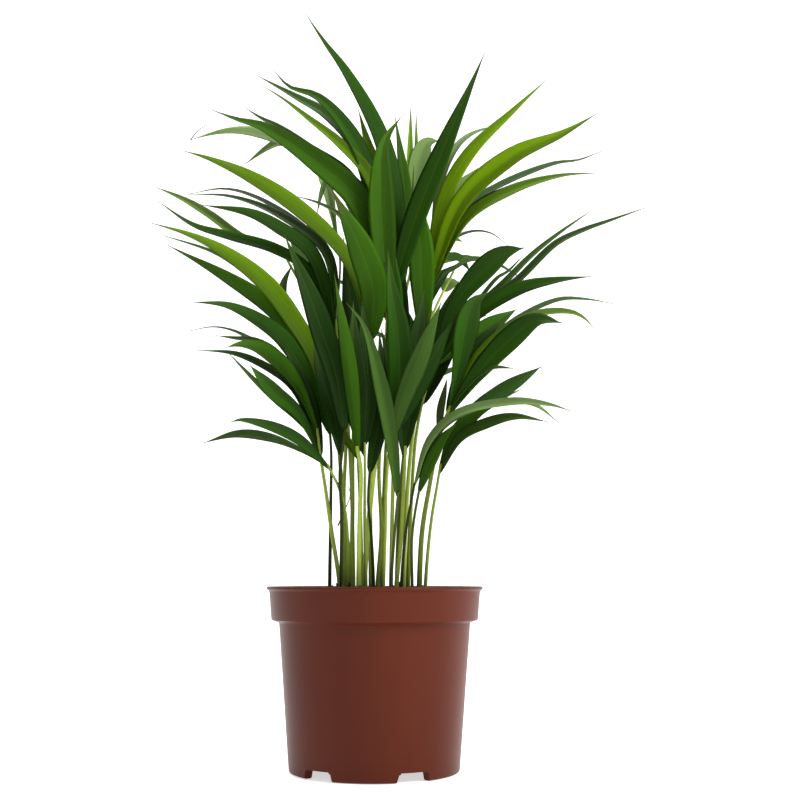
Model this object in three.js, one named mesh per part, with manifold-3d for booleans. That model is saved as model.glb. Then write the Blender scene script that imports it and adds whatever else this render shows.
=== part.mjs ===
// A young palm in a round 12 cm nursery pot, with soil, and each frond as one solid.
// Millimetres, +Z up, the front is -Y. The origin is the middle of the flat pad under the pot.
import * as THREE from "three";
import { mergeGeometries, mergeVertices } from "three/addons/utils/BufferGeometryUtils.js";
import Module from "manifold-3d";

const wasm = await Module();
wasm.setup();

// ---- driving dimensions ----
const POT_HEIGHT = 99.4;
const RIM_RADIUS = 60;
const RIM_BEAD = 2.2;
const COLLAR_TOP_RADIUS = 58.5;
const COLLAR_FOOT_RADIUS = 57.2;
const COLLAR_FOOT = 81.2;
const STEP_DROP = 1.4;
const BODY_TOP_RADIUS = 52.9;
const BODY_LOW_RADIUS = 48.2;
const BODY_LOW = 19;
const BASE_RADIUS = 46.7;
const WALL = 1.5;
const AROUND = 40;

const FOOT_HEIGHT = 5;
const FOOT_DEPTH = 4.8;
const PAD_RADIUS = 7;
// The notches between the feet, in degrees from the front; - is to the left.
const NOTCH_TURNS = [-38.5, 27.5, 101, 174.5, -112];
const NOTCH_ANGLE_LOW = 25;
const NOTCH_ANGLE_HIGH = 21;
const DRAIN_RADIUS = 3;
const DRAIN_PLACE = 30;

const SOIL_TOP = 88.5;
const SOIL_BUMP = 1.1;
const SOIL_RINGS = 4;
const GAP = 0.3;

const STALK_SIDES = 5;
const STALK_FOOT = 64;
const STALK_ROW = 26;
const STALK_CURL = 1.4;
const STALK_ROOM = 1.3;

const BLADE_THICKNESS = 0.95;
const BLADE_FOLD = 0.12;
const BLADE_ROOT_WIDTH = 1.3;
const BLADE_TIP_WIDTH = 0.5;
const BLADE_FULLNESS = [0.66, 1.5];
const BLADE_ROW = 17;
const BLADE_CLEARANCE = 0.35;
const LEAN_STEP = 4;
const LEAN_STEPS = 14;

// The fronds were sighted from this point: an [x, z] below is where a point shows on the plane
// through the pot's axis, and its depth is then its y. Another depth leaves the front view as it is.
const EYE = new THREE.Vector3(14, -700, 103.5);

// Stalk: [x, z] from the soil up, its depth at the soil and at its top, and its diameters there.
// Leaflet: width, how far up it is widest, turn in degrees about its own length (0 faces the front),
// depth of the tip, then its middle line from the stalk to the tip.
const FRONDS = {
  frond_top: {
    stalk: [[-6, 100], [-2.3, 149], [3.3, 195], [6, 235], [7, 262]],
    depth: [-4, 2],
    thick: [3.5, 2],
    leaflets: [
      [16, 0.48, 10, -18, [7, 258], [5, 290], [3, 330], [4.8, 357], [14.8, 373]],
      [12.5, 0.4, 30, 22, [7, 262], [12, 318], [3, 360], [-17.3, 400], [-31, 419.5], [-43, 438]],
      [13.5, 0.42, -18, -26, [7, 258], [24, 315], [42.5, 361], [55, 390], [64.5, 413]],
      [15.5, 0.44, 12, -14, [6.5, 250], [-7.5, 318.5], [-35, 346], [-67, 367], [-81, 371],
        [-97.5, 377.2]],
      [8.5, 0.68, 45, 8, [7, 262], [-13, 334], [-40.5, 354.7], [-58, 367], [-69, 372.8],
        [-78.5, 379.3]],
      [12, 0.48, 32, 10, [7, 260], [-4, 338], [-14.5, 362.5], [-34.5, 385.3], [-51.7, 391.6],
        [-61.5, 402.5]],
      [12.5, 0.55, 44, 26, [7, 262], [-10, 351], [-29, 374.5], [-46.3, 384.8], [-72, 399]],
      [9, 0.45, 35, 0, [7, 262], [-3, 335], [-20.7, 356.3], [-40.7, 372.8], [-54.8, 383.8], [-69, 393]],
      [12, 0.68, 52, 38, [7, 262], [-20, 336], [-45, 354], [-73, 364], [-90, 364], [-110, 358.3]],
      [13.5, 0.66, 44, 50, [7, 262], [-20, 331], [-42, 352.5], [-57, 357.5], [-78.5, 342.5]],
      [9, 0.55, 20, 14, [7, 262], [1, 335], [-5, 357], [-10.8, 378]],
      [11, 0.5, 5, -2, [6, 222], [11, 250], [7.5, 285], [3, 318]],
    ],
  },
  frond_right_high: {
    stalk: [[16, 100], [17.5, 140], [19.5, 169], [25, 215], [28, 245], [31, 275]],
    depth: [6, 14],
    thick: [3.2, 1.7],
    leaflets: [
      [10, 0.42, -28, 4, [31, 272], [39.5, 322], [55, 351], [80, 376], [101.5, 396.5]],
      [13, 0.48, -28, -22, [31, 270], [49, 320.5], [79.6, 348.9], [110, 362.8], [131.5, 375.6]],
      [8.5, 0.54, -64, 46, [31, 275], [52, 317.5], [72.3, 331.4], [104.3, 344.5], [118.9, 346.6],
        [135, 353]],
      [9.5, 0.45, -42, 30, [30, 268], [52, 311.5], [79.7, 328.7], [108, 337], [131, 338.4]],
      [8, 0.55, -55, 58, [31, 275], [38, 335], [50, 358], [66, 366], [75, 364]],
      [12, 0.6, -25, 42, [31, 275], [41, 315], [49, 330], [60, 342]],
      [6, 0.42, -64, 56, [31, 275], [35.7, 291.5], [45.9, 299.6], [53.2, 302.9], [60.5, 303.7],
        [67.7, 301.8], [76, 295.5]],
      [15.5, 0.5, 8, -10, [28, 238], [27, 270], [26, 300], [23.6, 330]],
      [8, 0.7, -50, 44, [30, 268], [37.2, 286.2], [42.2, 288], [48.7, 287.2], [55, 279]],
      [8, 0.5, -20, 30, [29.5, 258], [33.5, 270], [38, 277], [46, 283.5]],
      [5, 0.6, -55, 52, [30.5, 262], [37.9, 275.8], [45.8, 281.7], [53.1, 286.2], [59.6, 286.9],
        [71.8, 283.2], [88, 272.5]],
    ],
  },
  frond_centre_left: {
    stalk: [[-13, 100], [-12.7, 140], [-12, 190], [-6, 225], [-2, 246]],
    depth: [-12, -10],
    thick: [2.9, 1.7],
    leaflets: [
      [11, 0.52, 28, -34, [-2, 244], [-17.6, 289], [-45, 317.3], [-73, 336], [-98, 347.3],
        [-114.5, 352.3]],
      [17, 0.42, 10, -46, [-3, 238], [-1, 268], [-9, 294], [-17, 311], [-26.5, 330]],
      [7.5, 0.55, 58, 12, [-2, 244], [-12, 296], [-20.7, 312.8], [-33.3, 320.4], [-49, 325]],
      [13, 0.45, 15, 6, [-10.5, 200], [-11, 228], [-14, 262], [-19, 300]],
    ],
  },
  frond_left_upper: {
    stalk: [[-12.5, 100], [-17.5, 145], [-16.7, 185], [-21, 225], [-23, 252]],
    depth: [8, 16],
    thick: [3, 1.4],
    leaflets: [
      [9, 0.42, 62, 46, [-21, 240], [-25, 282], [-41, 305.3], [-69, 323.6], [-88.8, 329],
        [-110, 325.5]],
      [9.5, 0.42, 50, 28, [-22, 244], [-28.5, 290.8], [-55, 312.8], [-84.2, 324.3], [-110.5, 325.6]],
      [10, 0.47, 28, -8, [-23, 246], [-37, 290.6], [-56, 305.5], [-73.1, 314.3], [-102, 319.2]],
      [9, 0.44, 40, 8, [-22, 236], [-38, 279.2], [-58, 292.8], [-86.9, 301.3], [-105.6, 307],
        [-128, 321.9]],
      [8.5, 0.7, 48, 44, [-22, 238], [-42, 283], [-64, 294], [-79, 300.5], [-97, 313.7],
        [-112, 322.7], [-130, 330.5]],
      [13, 0.5, 20, 24, [-19, 205], [-25, 235], [-31, 262], [-40, 292]],
      [8, 0.86, 30, 62, [-23, 250], [-20.7, 286], [-23.8, 303.5], [-27.5, 320.6], [-29.5, 332],
        [-33.5, 343]],
      [5, 0.8, 40, 56, [-23, 250], [-20.5, 286], [-23.5, 305], [-26, 325], [-29, 334], [-32.5, 324],
        [-34.3, 313]],
    ],
  },
  frond_left_high: {
    stalk: [[-25.2, 100], [-24.9, 152], [-25, 176], [-27, 198]],
    depth: [0, 2],
    thick: [2.6, 1.5],
    leaflets: [
      [10.5, 0.5, 28, -34, [-25.5, 184], [-40, 219.5], [-53, 240], [-67, 250.8], [-85, 259.4],
        [-107, 261.4]],
      [12.3, 0.44, 32, 24, [-27, 197], [-42, 238], [-61, 259], [-88, 277.3], [-122.5, 296]],
      [11.5, 0.44, 22, -22, [-26.5, 192], [-34, 228], [-46, 249.3], [-62, 271], [-86, 290.3],
        [-108, 301.3], [-132.5, 308.8]],
      [8, 0.45, 50, 38, [-27, 197], [-46, 247], [-64, 269], [-90, 289], [-127, 302]],
      [12, 0.5, 15, 14, [-26, 188], [-29, 215], [-33, 240], [-40, 268]],
      [8, 0.66, 30, 30, [-27, 196], [-35, 229], [-46, 249], [-53.5, 262], [-53, 272.5], [-48, 284]],
    ],
  },
  frond_left_mid: {
    stalk: [[-19.6, 100], [-24.2, 129], [-28.2, 155], [-31, 172], [-33, 188]],
    depth: [-9, -18],
    thick: [3, 1.5],
    leaflets: [
      [9, 0.66, 15, -52, [-31, 172], [-43.6, 196.6], [-57.6, 208.8], [-72, 224.6]],
      [7, 0.5, 55, -38, [-32, 180], [-46, 195.5], [-55.9, 203.8], [-66.6, 213.5], [-84.3, 231.6]],
      [8, 0.42, 52, -6, [-32, 180], [-45.9, 210.2], [-58, 221], [-79.6, 231.1], [-103, 233.2]],
      [10, 0.6, 25, -30, [-33, 187], [-44, 213], [-55, 226.7], [-68, 235.5], [-77.7, 236.6],
        [-86, 234.6]],
      [5.5, 0.66, 50, -16, [-33, 188], [-53.5, 229.5], [-69, 239], [-80.6, 240.3], [-92, 241.7]],
      [7.5, 0.45, 66, 8, [-33, 188], [-52, 227.8], [-71.5, 239.9], [-83.1, 245.3], [-94.2, 246.9],
        [-107.5, 244.2]],
      [11, 0.45, 25, -4, [-31, 172], [-37, 198], [-43, 217], [-52, 234]],
    ],
  },
  frond_left_low: {
    stalk: [[-15.3, 100], [-16, 135], [-19.5, 152], [-27, 167.5]],
    depth: [-18, -30],
    thick: [2.6, 1.4],
    leaflets: [
      [8, 0.5, 40, -62, [-26, 165], [-41.8, 180.7], [-57.8, 188.8], [-75, 192.8], [-82.5, 191.7]],
      [8, 0.58, 52, -12, [-26.5, 166], [-38.8, 174], [-58, 182.3], [-78.2, 185], [-98.5, 179.4]],
    ],
  },
  frond_dusky: {
    stalk: [[-18.8, 100], [-18.8, 140], [-19.9, 163], [-17, 188]],
    depth: [-23, -33],
    thick: [2.6, 1.7],
    leaflets: [
      [14, 0.45, 18, -44, [-17, 186], [-22, 218], [-30, 243], [-38, 266], [-53.5, 302]],
      [11, 0.48, 20, -22, [-19, 172], [-23, 195], [-30, 218], [-36, 240]],
    ],
  },
  frond_bright: {
    stalk: [[-9, 100], [-8.6, 140], [-8.2, 165], [-10.5, 178]],
    depth: [-23, -29],
    thick: [3.3, 2],
    leaflets: [
      [9, 0.45, 28, -50, [-10.5, 174], [-14, 218], [-19, 250], [-24, 278]],
      [6, 0.4, 40, -36, [-9, 170], [-16, 181], [-21, 190], [-21, 205]],
      [12, 0.48, 15, -24, [-10, 174], [-9.5, 205], [-12, 235], [-13, 262]],
    ],
  },
  frond_inner_left: {
    stalk: [[-5, 100], [-5.8, 136], [-5.8, 165], [-6, 180]],
    depth: [-15, -17],
    thick: [2.6, 1.5],
    leaflets: [
      [13, 0.5, 12, -16, [-6, 178], [-3.5, 205], [-5, 232], [-8, 262]],
      [10, 0.5, 25, -20, [-6.3, 172], [-13, 198], [-19, 222], [-25, 246]],
    ],
  },
  frond_shade: {
    stalk: [[-0.7, 100], [-2.2, 129], [-3.9, 146], [-3, 166]],
    depth: [-9, -10],
    thick: [2.3, 1.4],
    leaflets: [
      [11, 0.45, 15, -4, [-3, 163], [2, 190], [4, 215], [2, 245]],
    ],
  },
  frond_silver: {
    stalk: [[9, 100], [11.5, 135], [13, 152]],
    depth: [-27, -36],
    thick: [2, 1.4],
    leaflets: [
      [9, 0.45, 28, -60, [13, 149], [9.5, 180], [3, 214], [-7, 248], [-17, 261]],
    ],
  },
  frond_centre_right: {
    stalk: [[4.5, 100], [5.7, 135], [6, 152], [8, 176], [11, 190]],
    depth: [-15, -18],
    thick: [3.3, 1.8],
    leaflets: [
      [11.5, 0.5, 22, -42, [9.5, 181], [17, 208], [25.5, 229], [38, 262]],
      [11, 0.5, 22, -24, [10, 184], [21, 204], [31, 225], [46, 253]],
      [13, 0.5, 15, -4, [11, 188], [17, 212], [23, 235], [28, 268]],
      [14, 0.45, 8, -30, [9.5, 182], [14, 218], [13, 245], [9, 272], [7, 292]],
    ],
  },
  frond_inner_right: {
    stalk: [[12, 100], [14, 119.5], [15.8, 147.4], [17, 178]],
    depth: [-10, -9],
    thick: [2.9, 1.7],
    leaflets: [
      [12, 0.5, -8, 4, [17, 176], [21, 204], [25, 230], [31, 256]],
      [9, 0.5, 20, -12, [16.5, 170], [14, 196], [9.5, 220], [3, 246]],
    ],
  },
  frond_centre_back: {
    stalk: [[1.5, 100], [3.5, 129], [2.2, 169], [8, 215], [14, 250], [17, 278]],
    depth: [12, 24],
    thick: [2.9, 1.4],
    leaflets: [
      [8, 0.45, 20, 32, [17, 275], [17, 330], [14.5, 350], [11, 374]],
      [8, 0.5, 50, 42, [17, 278], [19.5, 332], [20.4, 381]],
      [6, 0.5, 55, 50, [17, 278], [23, 332], [23.6, 377]],
      [15, 0.7, 25, 60, [16, 270], [22, 325], [26.8, 349], [31, 357], [37, 358]],
      [13, 0.45, 10, 20, [7, 205], [12, 232], [14, 262], [16, 292]],
    ],
  },
  frond_right_mid: {
    stalk: [[18.5, 100], [20, 140], [23.6, 187], [30, 214], [38, 230]],
    depth: [-1, -7],
    thick: [3, 1.5],
    leaflets: [
      [14, 0.74, -20, -34, [30, 212], [43, 255.5], [60, 278.5], [74, 290], [86.5, 293.5]],
      [7, 0.45, -52, 12, [38, 229], [56.5, 256], [74.4, 273.3], [90.3, 289.4], [105.9, 302],
        [126.5, 316.5]],
      [7.5, 0.52, -52, -42, [38, 230], [60.5, 259.5], [80.6, 273.4], [104.4, 296.3], [120.5, 304.3],
        [134.7, 309.4], [158, 317.8]],
      [9, 0.5, -33, -48, [37, 227], [58, 254], [82, 269], [102, 274], [125.5, 276.5]],
      [11.5, 0.6, -28, 14, [36, 224], [50, 236.5], [65, 247.3], [81.5, 257.3]],
      [12, 0.45, -15, 2, [27, 202], [36, 224], [45, 246], [54, 268]],
      [4.5, 0.5, -50, 8, [37, 228], [52, 252], [63, 267.3], [70.3, 275.8], [76.4, 279.6],
        [85.8, 289.5]],
      [8.5, 0.5, -10, -2, [30, 212], [35, 240], [41, 258], [48, 274]],
    ],
  },
  frond_right_low: {
    stalk: [[24.8, 100], [26.4, 130], [30, 152], [34.7, 176], [38.7, 191], [43, 201]],
    depth: [-10, -18],
    thick: [3.5, 1.8],
    leaflets: [
      [7.5, 0.48, -60, 4, [43, 199], [60.5, 233], [77.6, 249.4], [104.6, 262.8], [120.6, 263.2],
        [137, 260.3]],
      [9, 0.68, -58, -20, [43, 200], [58.5, 232], [80.5, 249.9], [98.4, 255.8], [113.7, 255.3],
        [120.7, 251.3], [126, 245]],
      [14.5, 0.6, -25, -58, [41, 193], [56.8, 218.3], [77, 240], [92.8, 250.8], [107.5, 249]],
      [4.5, 0.6, -60, -62, [43, 199], [56, 216], [66.6, 222.8], [79, 222.6]],
      [14, 0.66, 15, -32, [43, 198], [48, 225], [52, 245], [57, 261], [65, 267]],
      [13, 0.5, -20, -8, [42, 196], [51, 220], [60, 236], [72, 250]],
      [4.5, 0.5, -10, -12, [36, 182], [37, 198], [39, 208], [41, 217]],
    ],
  },
  frond_right_base: {
    stalk: [[28.2, 100], [31.4, 134.5], [35, 156], [37, 168]],
    depth: [-17, -25],
    thick: [2.6, 1.5],
    leaflets: [
      [7.5, 0.52, -38, -64, [36, 162], [48, 183], [65, 191.7], [80, 194.8], [98, 191.8]],
      [10, 0.5, -35, -34, [36, 164], [48, 188], [60, 198], [70, 204]],
      [10.5, 0.68, -34, 2, [37, 167], [53.3, 195.9], [71.1, 209], [95.3, 223.9]],
      [6.5, 0.5, -58, 20, [37, 168], [54, 191.5], [72, 205], [84, 211]],
    ],
  },
  frond_arching: {
    stalk: [[14.8, 100], [17.3, 130], [22.3, 157]],
    depth: [-25, -32],
    thick: [2.3, 1.4],
    leaflets: [
      [8.5, 0.58, -50, -78, [21.8, 154], [30.5, 181.5], [46.5, 196.7], [78, 203.6], [98.4, 201.9],
        [111.5, 197.9]],
      [8, 0.6, -60, -52, [22.2, 156], [38.5, 188.5], [66, 202.3], [89, 202.3], [105, 190.8]],
    ],
  },
  frond_small: {
    stalk: [[20.8, 100], [20.6, 125], [22.3, 139.5], [24.8, 153]],
    depth: [-28, -34],
    thick: [1.9, 1.4],
    leaflets: [
      [8, 0.5, -30, -42, [24.6, 152], [31.2, 169.5], [38.1, 182.2], [46.3, 191.5]],
    ],
  },
};

// The back of the clump: fronds set in a fan, each with leaflets in turn on its two sides.
const BACK_FRONDS = 8;
const BACK_AZIMUTH = [42, 138];
const BACK_FOOT_RADIUS = 23;
const BACK_HEIGHT = [205, 318];
const BACK_REACH = [38, 74];
const BACK_LEAFLETS = 7;
const BACK_LEAFLET_LENGTH = [58, 88];
const BACK_LEAFLET_WIDTH = [8, 12];
const BACK_BELLY = 0.42;
const BACK_THICK = [2.7, 1.5];
// The thick heart of the plant, as sighted: leaflets of the back fronds end inside it.
const HEART = { x: 4, z: 262, halfWidth: 66, halfHeight: 92 };

const LEAF_GREEN = [0x3d6a1c, 0x4f7d24, 0x5f8a2a];
const POT_BROWN = 0x7d4330;
const SOIL_BROWN = 0x33261c;

// ---- solids ----
function solid(geometry) {
  geometry.deleteAttribute("normal");
  geometry.deleteAttribute("uv");
  const welded = mergeVertices(geometry, 1e-4);
  const vertProperties = welded.getAttribute("position").array;
  const triVerts = new Uint32Array(welded.index.array);
  return new wasm.Manifold(new wasm.Mesh({ numProp: 3, vertProperties, triVerts }));
}

function meshOf(name, shape, color, roughness) {
  const made = shape.getMesh();
  const geometry = new THREE.BufferGeometry();
  geometry.setAttribute("position", new THREE.BufferAttribute(made.vertProperties, 3));
  geometry.setIndex(new THREE.BufferAttribute(made.triVerts, 1));
  geometry.computeVertexNormals();
  const material = new THREE.MeshStandardMaterial({ color, roughness, metalness: 0 });
  const mesh = new THREE.Mesh(geometry, material);
  mesh.name = name;
  return mesh;
}

function revolved(profile) {
  const points = profile.map(([r, z]) => new THREE.Vector2(r, z));
  return new THREE.LatheGeometry(points, AROUND).rotateX(Math.PI / 2);
}

// ---- pot and soil ----
// The wall's outline from the base to the collar, moved in by `inset`.
function wallOutline(inset, floor) {
  return [
    [0, floor],
    [BASE_RADIUS - inset, floor],
    [BODY_LOW_RADIUS - inset, BODY_LOW],
    [BODY_TOP_RADIUS - inset, COLLAR_FOOT - STEP_DROP],
    [COLLAR_FOOT_RADIUS - inset, COLLAR_FOOT],
  ];
}

// A round plug about the pot's axis, `height` above and below the surface it stands on.
function plug(radius, height) {
  return solid(new THREE.CylinderGeometry(radius, radius, 2 * height, AROUND).rotateX(Math.PI / 2));
}

// Under the pot: a raised floor between a middle pad and a ring of feet, and the feet's notches.
function underside() {
  const recess = BASE_RADIUS - FOOT_DEPTH;
  const hollow = plug(recess, FOOT_HEIGHT).subtract(plug(PAD_RADIUS, 2 * FOOT_HEIGHT));
  const notches = NOTCH_TURNS.map((turn) => {
    const notch = new THREE.BoxGeometry(1, 1, 1);
    const place = notch.getAttribute("position");
    for (let k = 0; k < place.count; k += 1) {
      const radius = place.getX(k) > 0 ? BASE_RADIUS + FOOT_DEPTH : recess - FOOT_DEPTH;
      const high = place.getZ(k) > 0;
      const angle = (high ? NOTCH_ANGLE_HIGH : NOTCH_ANGLE_LOW) / 2;
      const half = radius * Math.tan(THREE.MathUtils.degToRad(angle));
      place.setXYZ(k, radius, half * Math.sign(place.getY(k)), high ? FOOT_HEIGHT : -1);
    }
    return solid(notch.rotateZ(THREE.MathUtils.degToRad(turn - 90)));
  });
  return notches.reduce((sum, notch) => sum.add(notch), hollow);
}

function drains() {
  const holes = NOTCH_TURNS.map((turn) => {
    const hole = new THREE.CylinderGeometry(DRAIN_RADIUS, DRAIN_RADIUS, 8 * WALL, 10);
    hole.rotateX(Math.PI / 2);
    hole.translate(DRAIN_PLACE, 0, FOOT_HEIGHT);
    return solid(hole.rotateZ(THREE.MathUtils.degToRad(turn - 90)));
  });
  return holes.reduce((sum, hole) => sum.add(hole));
}

function potSolid() {
  const outside = revolved([
    ...wallOutline(0, 0),
    [COLLAR_TOP_RADIUS, POT_HEIGHT - RIM_BEAD],
    [RIM_RADIUS, POT_HEIGHT - RIM_BEAD + 0.4],
    [RIM_RADIUS, POT_HEIGHT - 0.5],
    [RIM_RADIUS - 0.6, POT_HEIGHT],
    [COLLAR_TOP_RADIUS - WALL + 0.4, POT_HEIGHT],
    [COLLAR_TOP_RADIUS - WALL, POT_HEIGHT - 0.8],
    [COLLAR_TOP_RADIUS - WALL, POT_HEIGHT - 2],
    [0, POT_HEIGHT - 2],
  ]);
  const cavity = revolved([
    ...wallOutline(WALL, FOOT_HEIGHT + WALL),
    [COLLAR_TOP_RADIUS - WALL, POT_HEIGHT - 2],
    [COLLAR_TOP_RADIUS - WALL, POT_HEIGHT + 5],
    [0, POT_HEIGHT + 5],
  ]);
  return solid(outside).subtract(underside()).subtract(solid(cavity)).subtract(drains());
}

function soilSolid(holes) {
  const inset = WALL + GAP;
  const sides = wallOutline(inset, FOOT_HEIGHT + inset);
  const share = (SOIL_TOP - COLLAR_FOOT) / (POT_HEIGHT - 2 - COLLAR_FOOT);
  const edge = THREE.MathUtils.lerp(COLLAR_FOOT_RADIUS, COLLAR_TOP_RADIUS, share) - inset;
  const top = [];
  for (let ring = 0; ring <= SOIL_RINGS; ring += 1) top.push([edge * (1 - ring / SOIL_RINGS), SOIL_TOP]);
  const body = revolved([...sides, ...top]);
  const place = body.getAttribute("position");
  for (let i = 0; i < place.count; i += 1) {
    const x = place.getX(i);
    const y = place.getY(i);
    if (place.getZ(i) < SOIL_TOP - 0.01 || Math.hypot(x, y) > edge - 1) continue;
    const bump = Math.sin(x / 7.3) * Math.cos(y / 6.1) + 0.6 * Math.sin((x + y) / 3.7);
    place.setZ(i, SOIL_TOP + SOIL_BUMP * bump);
  }
  return holes.reduce((rest, hole) => rest.subtract(hole), solid(body));
}

// ---- stalks and blades ----
// Lays a shape along a curve: Y, from 0 to 1, is the way along, X goes to the side, Z to the face.
function bend(shape, curve, reference, turn) {
  const place = shape.getAttribute("position");
  const point = new THREE.Vector3();
  for (let i = 0; i < place.count; i += 1) {
    point.fromBufferAttribute(place, i);
    const along = curve.getTangentAt(point.y);
    const side = new THREE.Vector3().crossVectors(along, reference).normalize();
    side.applyAxisAngle(along, turn);
    const face = new THREE.Vector3().crossVectors(side, along);
    const at = curve.getPointAt(point.y);
    at.addScaledVector(side, point.x).addScaledVector(face, point.z);
    place.setXYZ(i, at.x, at.y, at.z);
  }
  return shape;
}

function stalkShape(stalk, grow) {
  const rows = Math.ceil(stalk.curve.getLength() / STALK_ROW);
  const tube = new THREE.CylinderGeometry(1, 1, 1, STALK_SIDES, rows).translate(0, 0.5, 0);
  const place = tube.getAttribute("position");
  const [thickLow, thickHigh] = stalk.thick;
  for (let i = 0; i < place.count; i += 1) {
    const s = place.getY(i);
    const radius = THREE.MathUtils.lerp(thickLow, thickHigh, s) / 2 + grow;
    place.setXYZ(i, place.getX(i) * radius, s, place.getZ(i) * radius);
  }
  return solid(bend(tube, stalk.curve, new THREE.Vector3(0, 1, 0), 0));
}

// A blade's width at s, from its root at 0 to its tip at 1. It is widest at its belly.
function bladeWidth({ width, belly }, s) {
  const end = THREE.MathUtils.lerp(BLADE_ROOT_WIDTH, BLADE_TIP_WIDTH, s);
  const bulge = Math.sin(Math.PI * s ** (Math.log(0.5) / Math.log(belly)));
  return end + (width - end) * Math.max(0, bulge) ** THREE.MathUtils.lerp(...BLADE_FULLNESS, s);
}

// One leaflet: two sheets, folded along the middle and split alike, that meet at their edges.
function bladeShape(leaflet, curve, grow) {
  const rows = THREE.MathUtils.clamp(Math.round(curve.getLength() / BLADE_ROW), 4, 7);
  const sheets = [1, -1].map((front) => {
    const sheet = new THREE.PlaneGeometry(1, 1, 2, rows).translate(0, 0.5, 0);
    const place = sheet.getAttribute("position");
    for (let i = 0; i < place.count; i += 1) {
      const s = place.getY(i);
      const wide = bladeWidth(leaflet, s) + 2 * grow;
      const inner = place.getX(i) === 0 ? 1 : 0;
      const body = s > 0 && s < 1 ? front * (BLADE_THICKNESS / 2 + grow) : 0;
      place.setXYZ(i, place.getX(i) * wide, s, inner * (BLADE_FOLD * wide + body));
    }
    if (front < 0) sheet.index.array.reverse();
    sheet.deleteAttribute("normal");
    sheet.deleteAttribute("uv");
    return sheet;
  });
  return solid(bend(mergeGeometries(sheets), curve, leaflet.reference, leaflet.turn));
}

// ---- fronds ----
function sighted([x, z], depth) {
  const onPlane = new THREE.Vector3(x, 0, z);
  return onPlane.sub(EYE).multiplyScalar((depth - EYE.y) / -EYE.y).add(EYE);
}

function stalkOf(points, thick) {
  const foot = points[0];
  const buried = [STALK_FOOT, SOIL_TOP].map((z) => new THREE.Vector3(foot.x, foot.y, z));
  return { curve: new THREE.CatmullRomCurve3([...buried, ...points]), thick };
}

function nearestOn(curve, [x, z]) {
  const steps = 120;
  const spots = Array.from({ length: steps - 1 }, (_, i) => curve.getPoint(i / steps));
  const away = (p) => {
    const k = EYE.y / (EYE.y - p.y);
    return Math.hypot(EYE.x + (p.x - EYE.x) * k - x, EYE.z + (p.z - EYE.z) * k - z);
  };
  return spots.reduce((best, p) => (away(p) < away(best) ? p : best));
}

function sightedFrond(name, { stalk, depth, thick, leaflets }) {
  const last = stalk.length - 1;
  const depthAt = (i) => THREE.MathUtils.lerp(depth[0], depth[1], (i / last) ** STALK_CURL);
  const made = stalkOf(stalk.map((spot, i) => sighted(spot, depthAt(i))), thick);
  return {
    name,
    stalk: made,
    leaflets: leaflets.map(([width, belly, turn, tipDepth, rootSpot, ...spots]) => {
      const root = nearestOn(made.curve, rootSpot);
      const leaning = (lean) => {
        const way = tipDepth + lean - root.y;
        const laid = spots.map((spot, i) => sighted(spot, root.y + (way * (i + 1)) / spots.length));
        return new THREE.CatmullRomCurve3([root, ...laid]);
      };
      const reference = root.clone().sub(EYE).normalize();
      return { width, belly, turn: THREE.MathUtils.degToRad(turn), reference, leaning };
    }),
  };
}

// A number from 0 to 1 that depends only on the seed.
function draw(seed) {
  const x = Math.sin(seed * 12.9898) * 43758.5453;
  return x - Math.floor(x);
}

function between([low, high], seed) {
  return THREE.MathUtils.lerp(low, high, draw(seed));
}

function heading(degrees, rise) {
  const a = THREE.MathUtils.degToRad(degrees);
  return new THREE.Vector3(Math.cos(a), Math.sin(a), rise).normalize();
}

function inHeart(p) {
  const k = EYE.y / (EYE.y - p.y);
  const x = EYE.x + (p.x - EYE.x) * k - HEART.x;
  const z = EYE.z + (p.z - EYE.z) * k - HEART.z;
  return Math.hypot(x / HEART.halfWidth, z / HEART.halfHeight) < 1;
}

function backFrond(index) {
  const seed = 10 + index * 31;
  const fan = index / (BACK_FRONDS - 1);
  const azimuth = THREE.MathUtils.lerp(...BACK_AZIMUTH, fan) + 6 * (draw(seed) - 0.5);
  const height = index % 2 ? between(BACK_HEIGHT, seed + 1) : BACK_HEIGHT[1] - 30 * draw(seed + 1);
  const reach = between(BACK_REACH, seed + 2);
  const out = heading(azimuth, 0);
  const up = new THREE.Vector3(0, 0, 1);
  const at = (away, z) => out.clone().multiplyScalar(away).addScaledVector(up, z);
  const points = [
    at(BACK_FOOT_RADIUS, 100),
    at(BACK_FOOT_RADIUS + 0.12 * reach, 100 + 0.4 * (height - 100)),
    at(BACK_FOOT_RADIUS + 0.45 * reach, 100 + 0.78 * (height - 100)),
    at(BACK_FOOT_RADIUS + reach, height),
  ];
  const stalk = stalkOf(points, BACK_THICK);
  const leaflets = [];
  for (let i = 0; i < BACK_LEAFLETS; i += 1) {
    const s = 0.62 + (0.36 * i) / (BACK_LEAFLETS - 1);
    const root = stalk.curve.getPoint(s);
    const hand = i % 2 ? 1 : -1;
    const spread = i === BACK_LEAFLETS - 1 ? 8 : 62 - 36 * (s - 0.62) / 0.38;
    const length = between(BACK_LEAFLET_LENGTH, seed + 40 + i);
    const way = heading(azimuth + hand * spread, 0.9 - 0.5 * draw(seed + 60 + i));
    const droop = 0.16 + 0.2 * draw(seed + 80 + i);
    const leaning = (lean) => {
      const on = (share) => {
        const p = root.clone().addScaledVector(way, share * length);
        return p.addScaledVector(up, (lean * share - droop * length * share) * share);
      };
      return new THREE.CatmullRomCurve3([root, on(0.35), on(0.7), on(1)]);
    };
    if (!inHeart(leaning(0).getPoint(1))) continue;
    const width = between(BACK_LEAFLET_WIDTH, seed + 100 + i);
    const turn = THREE.MathUtils.degToRad(hand * (14 + 20 * draw(seed + 120 + i)));
    leaflets.push({ width, belly: BACK_BELLY, turn, reference: up, leaning, bounded: true });
  }
  return { name: "frond_back_" + (index + 1), stalk, leaflets };
}

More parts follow.
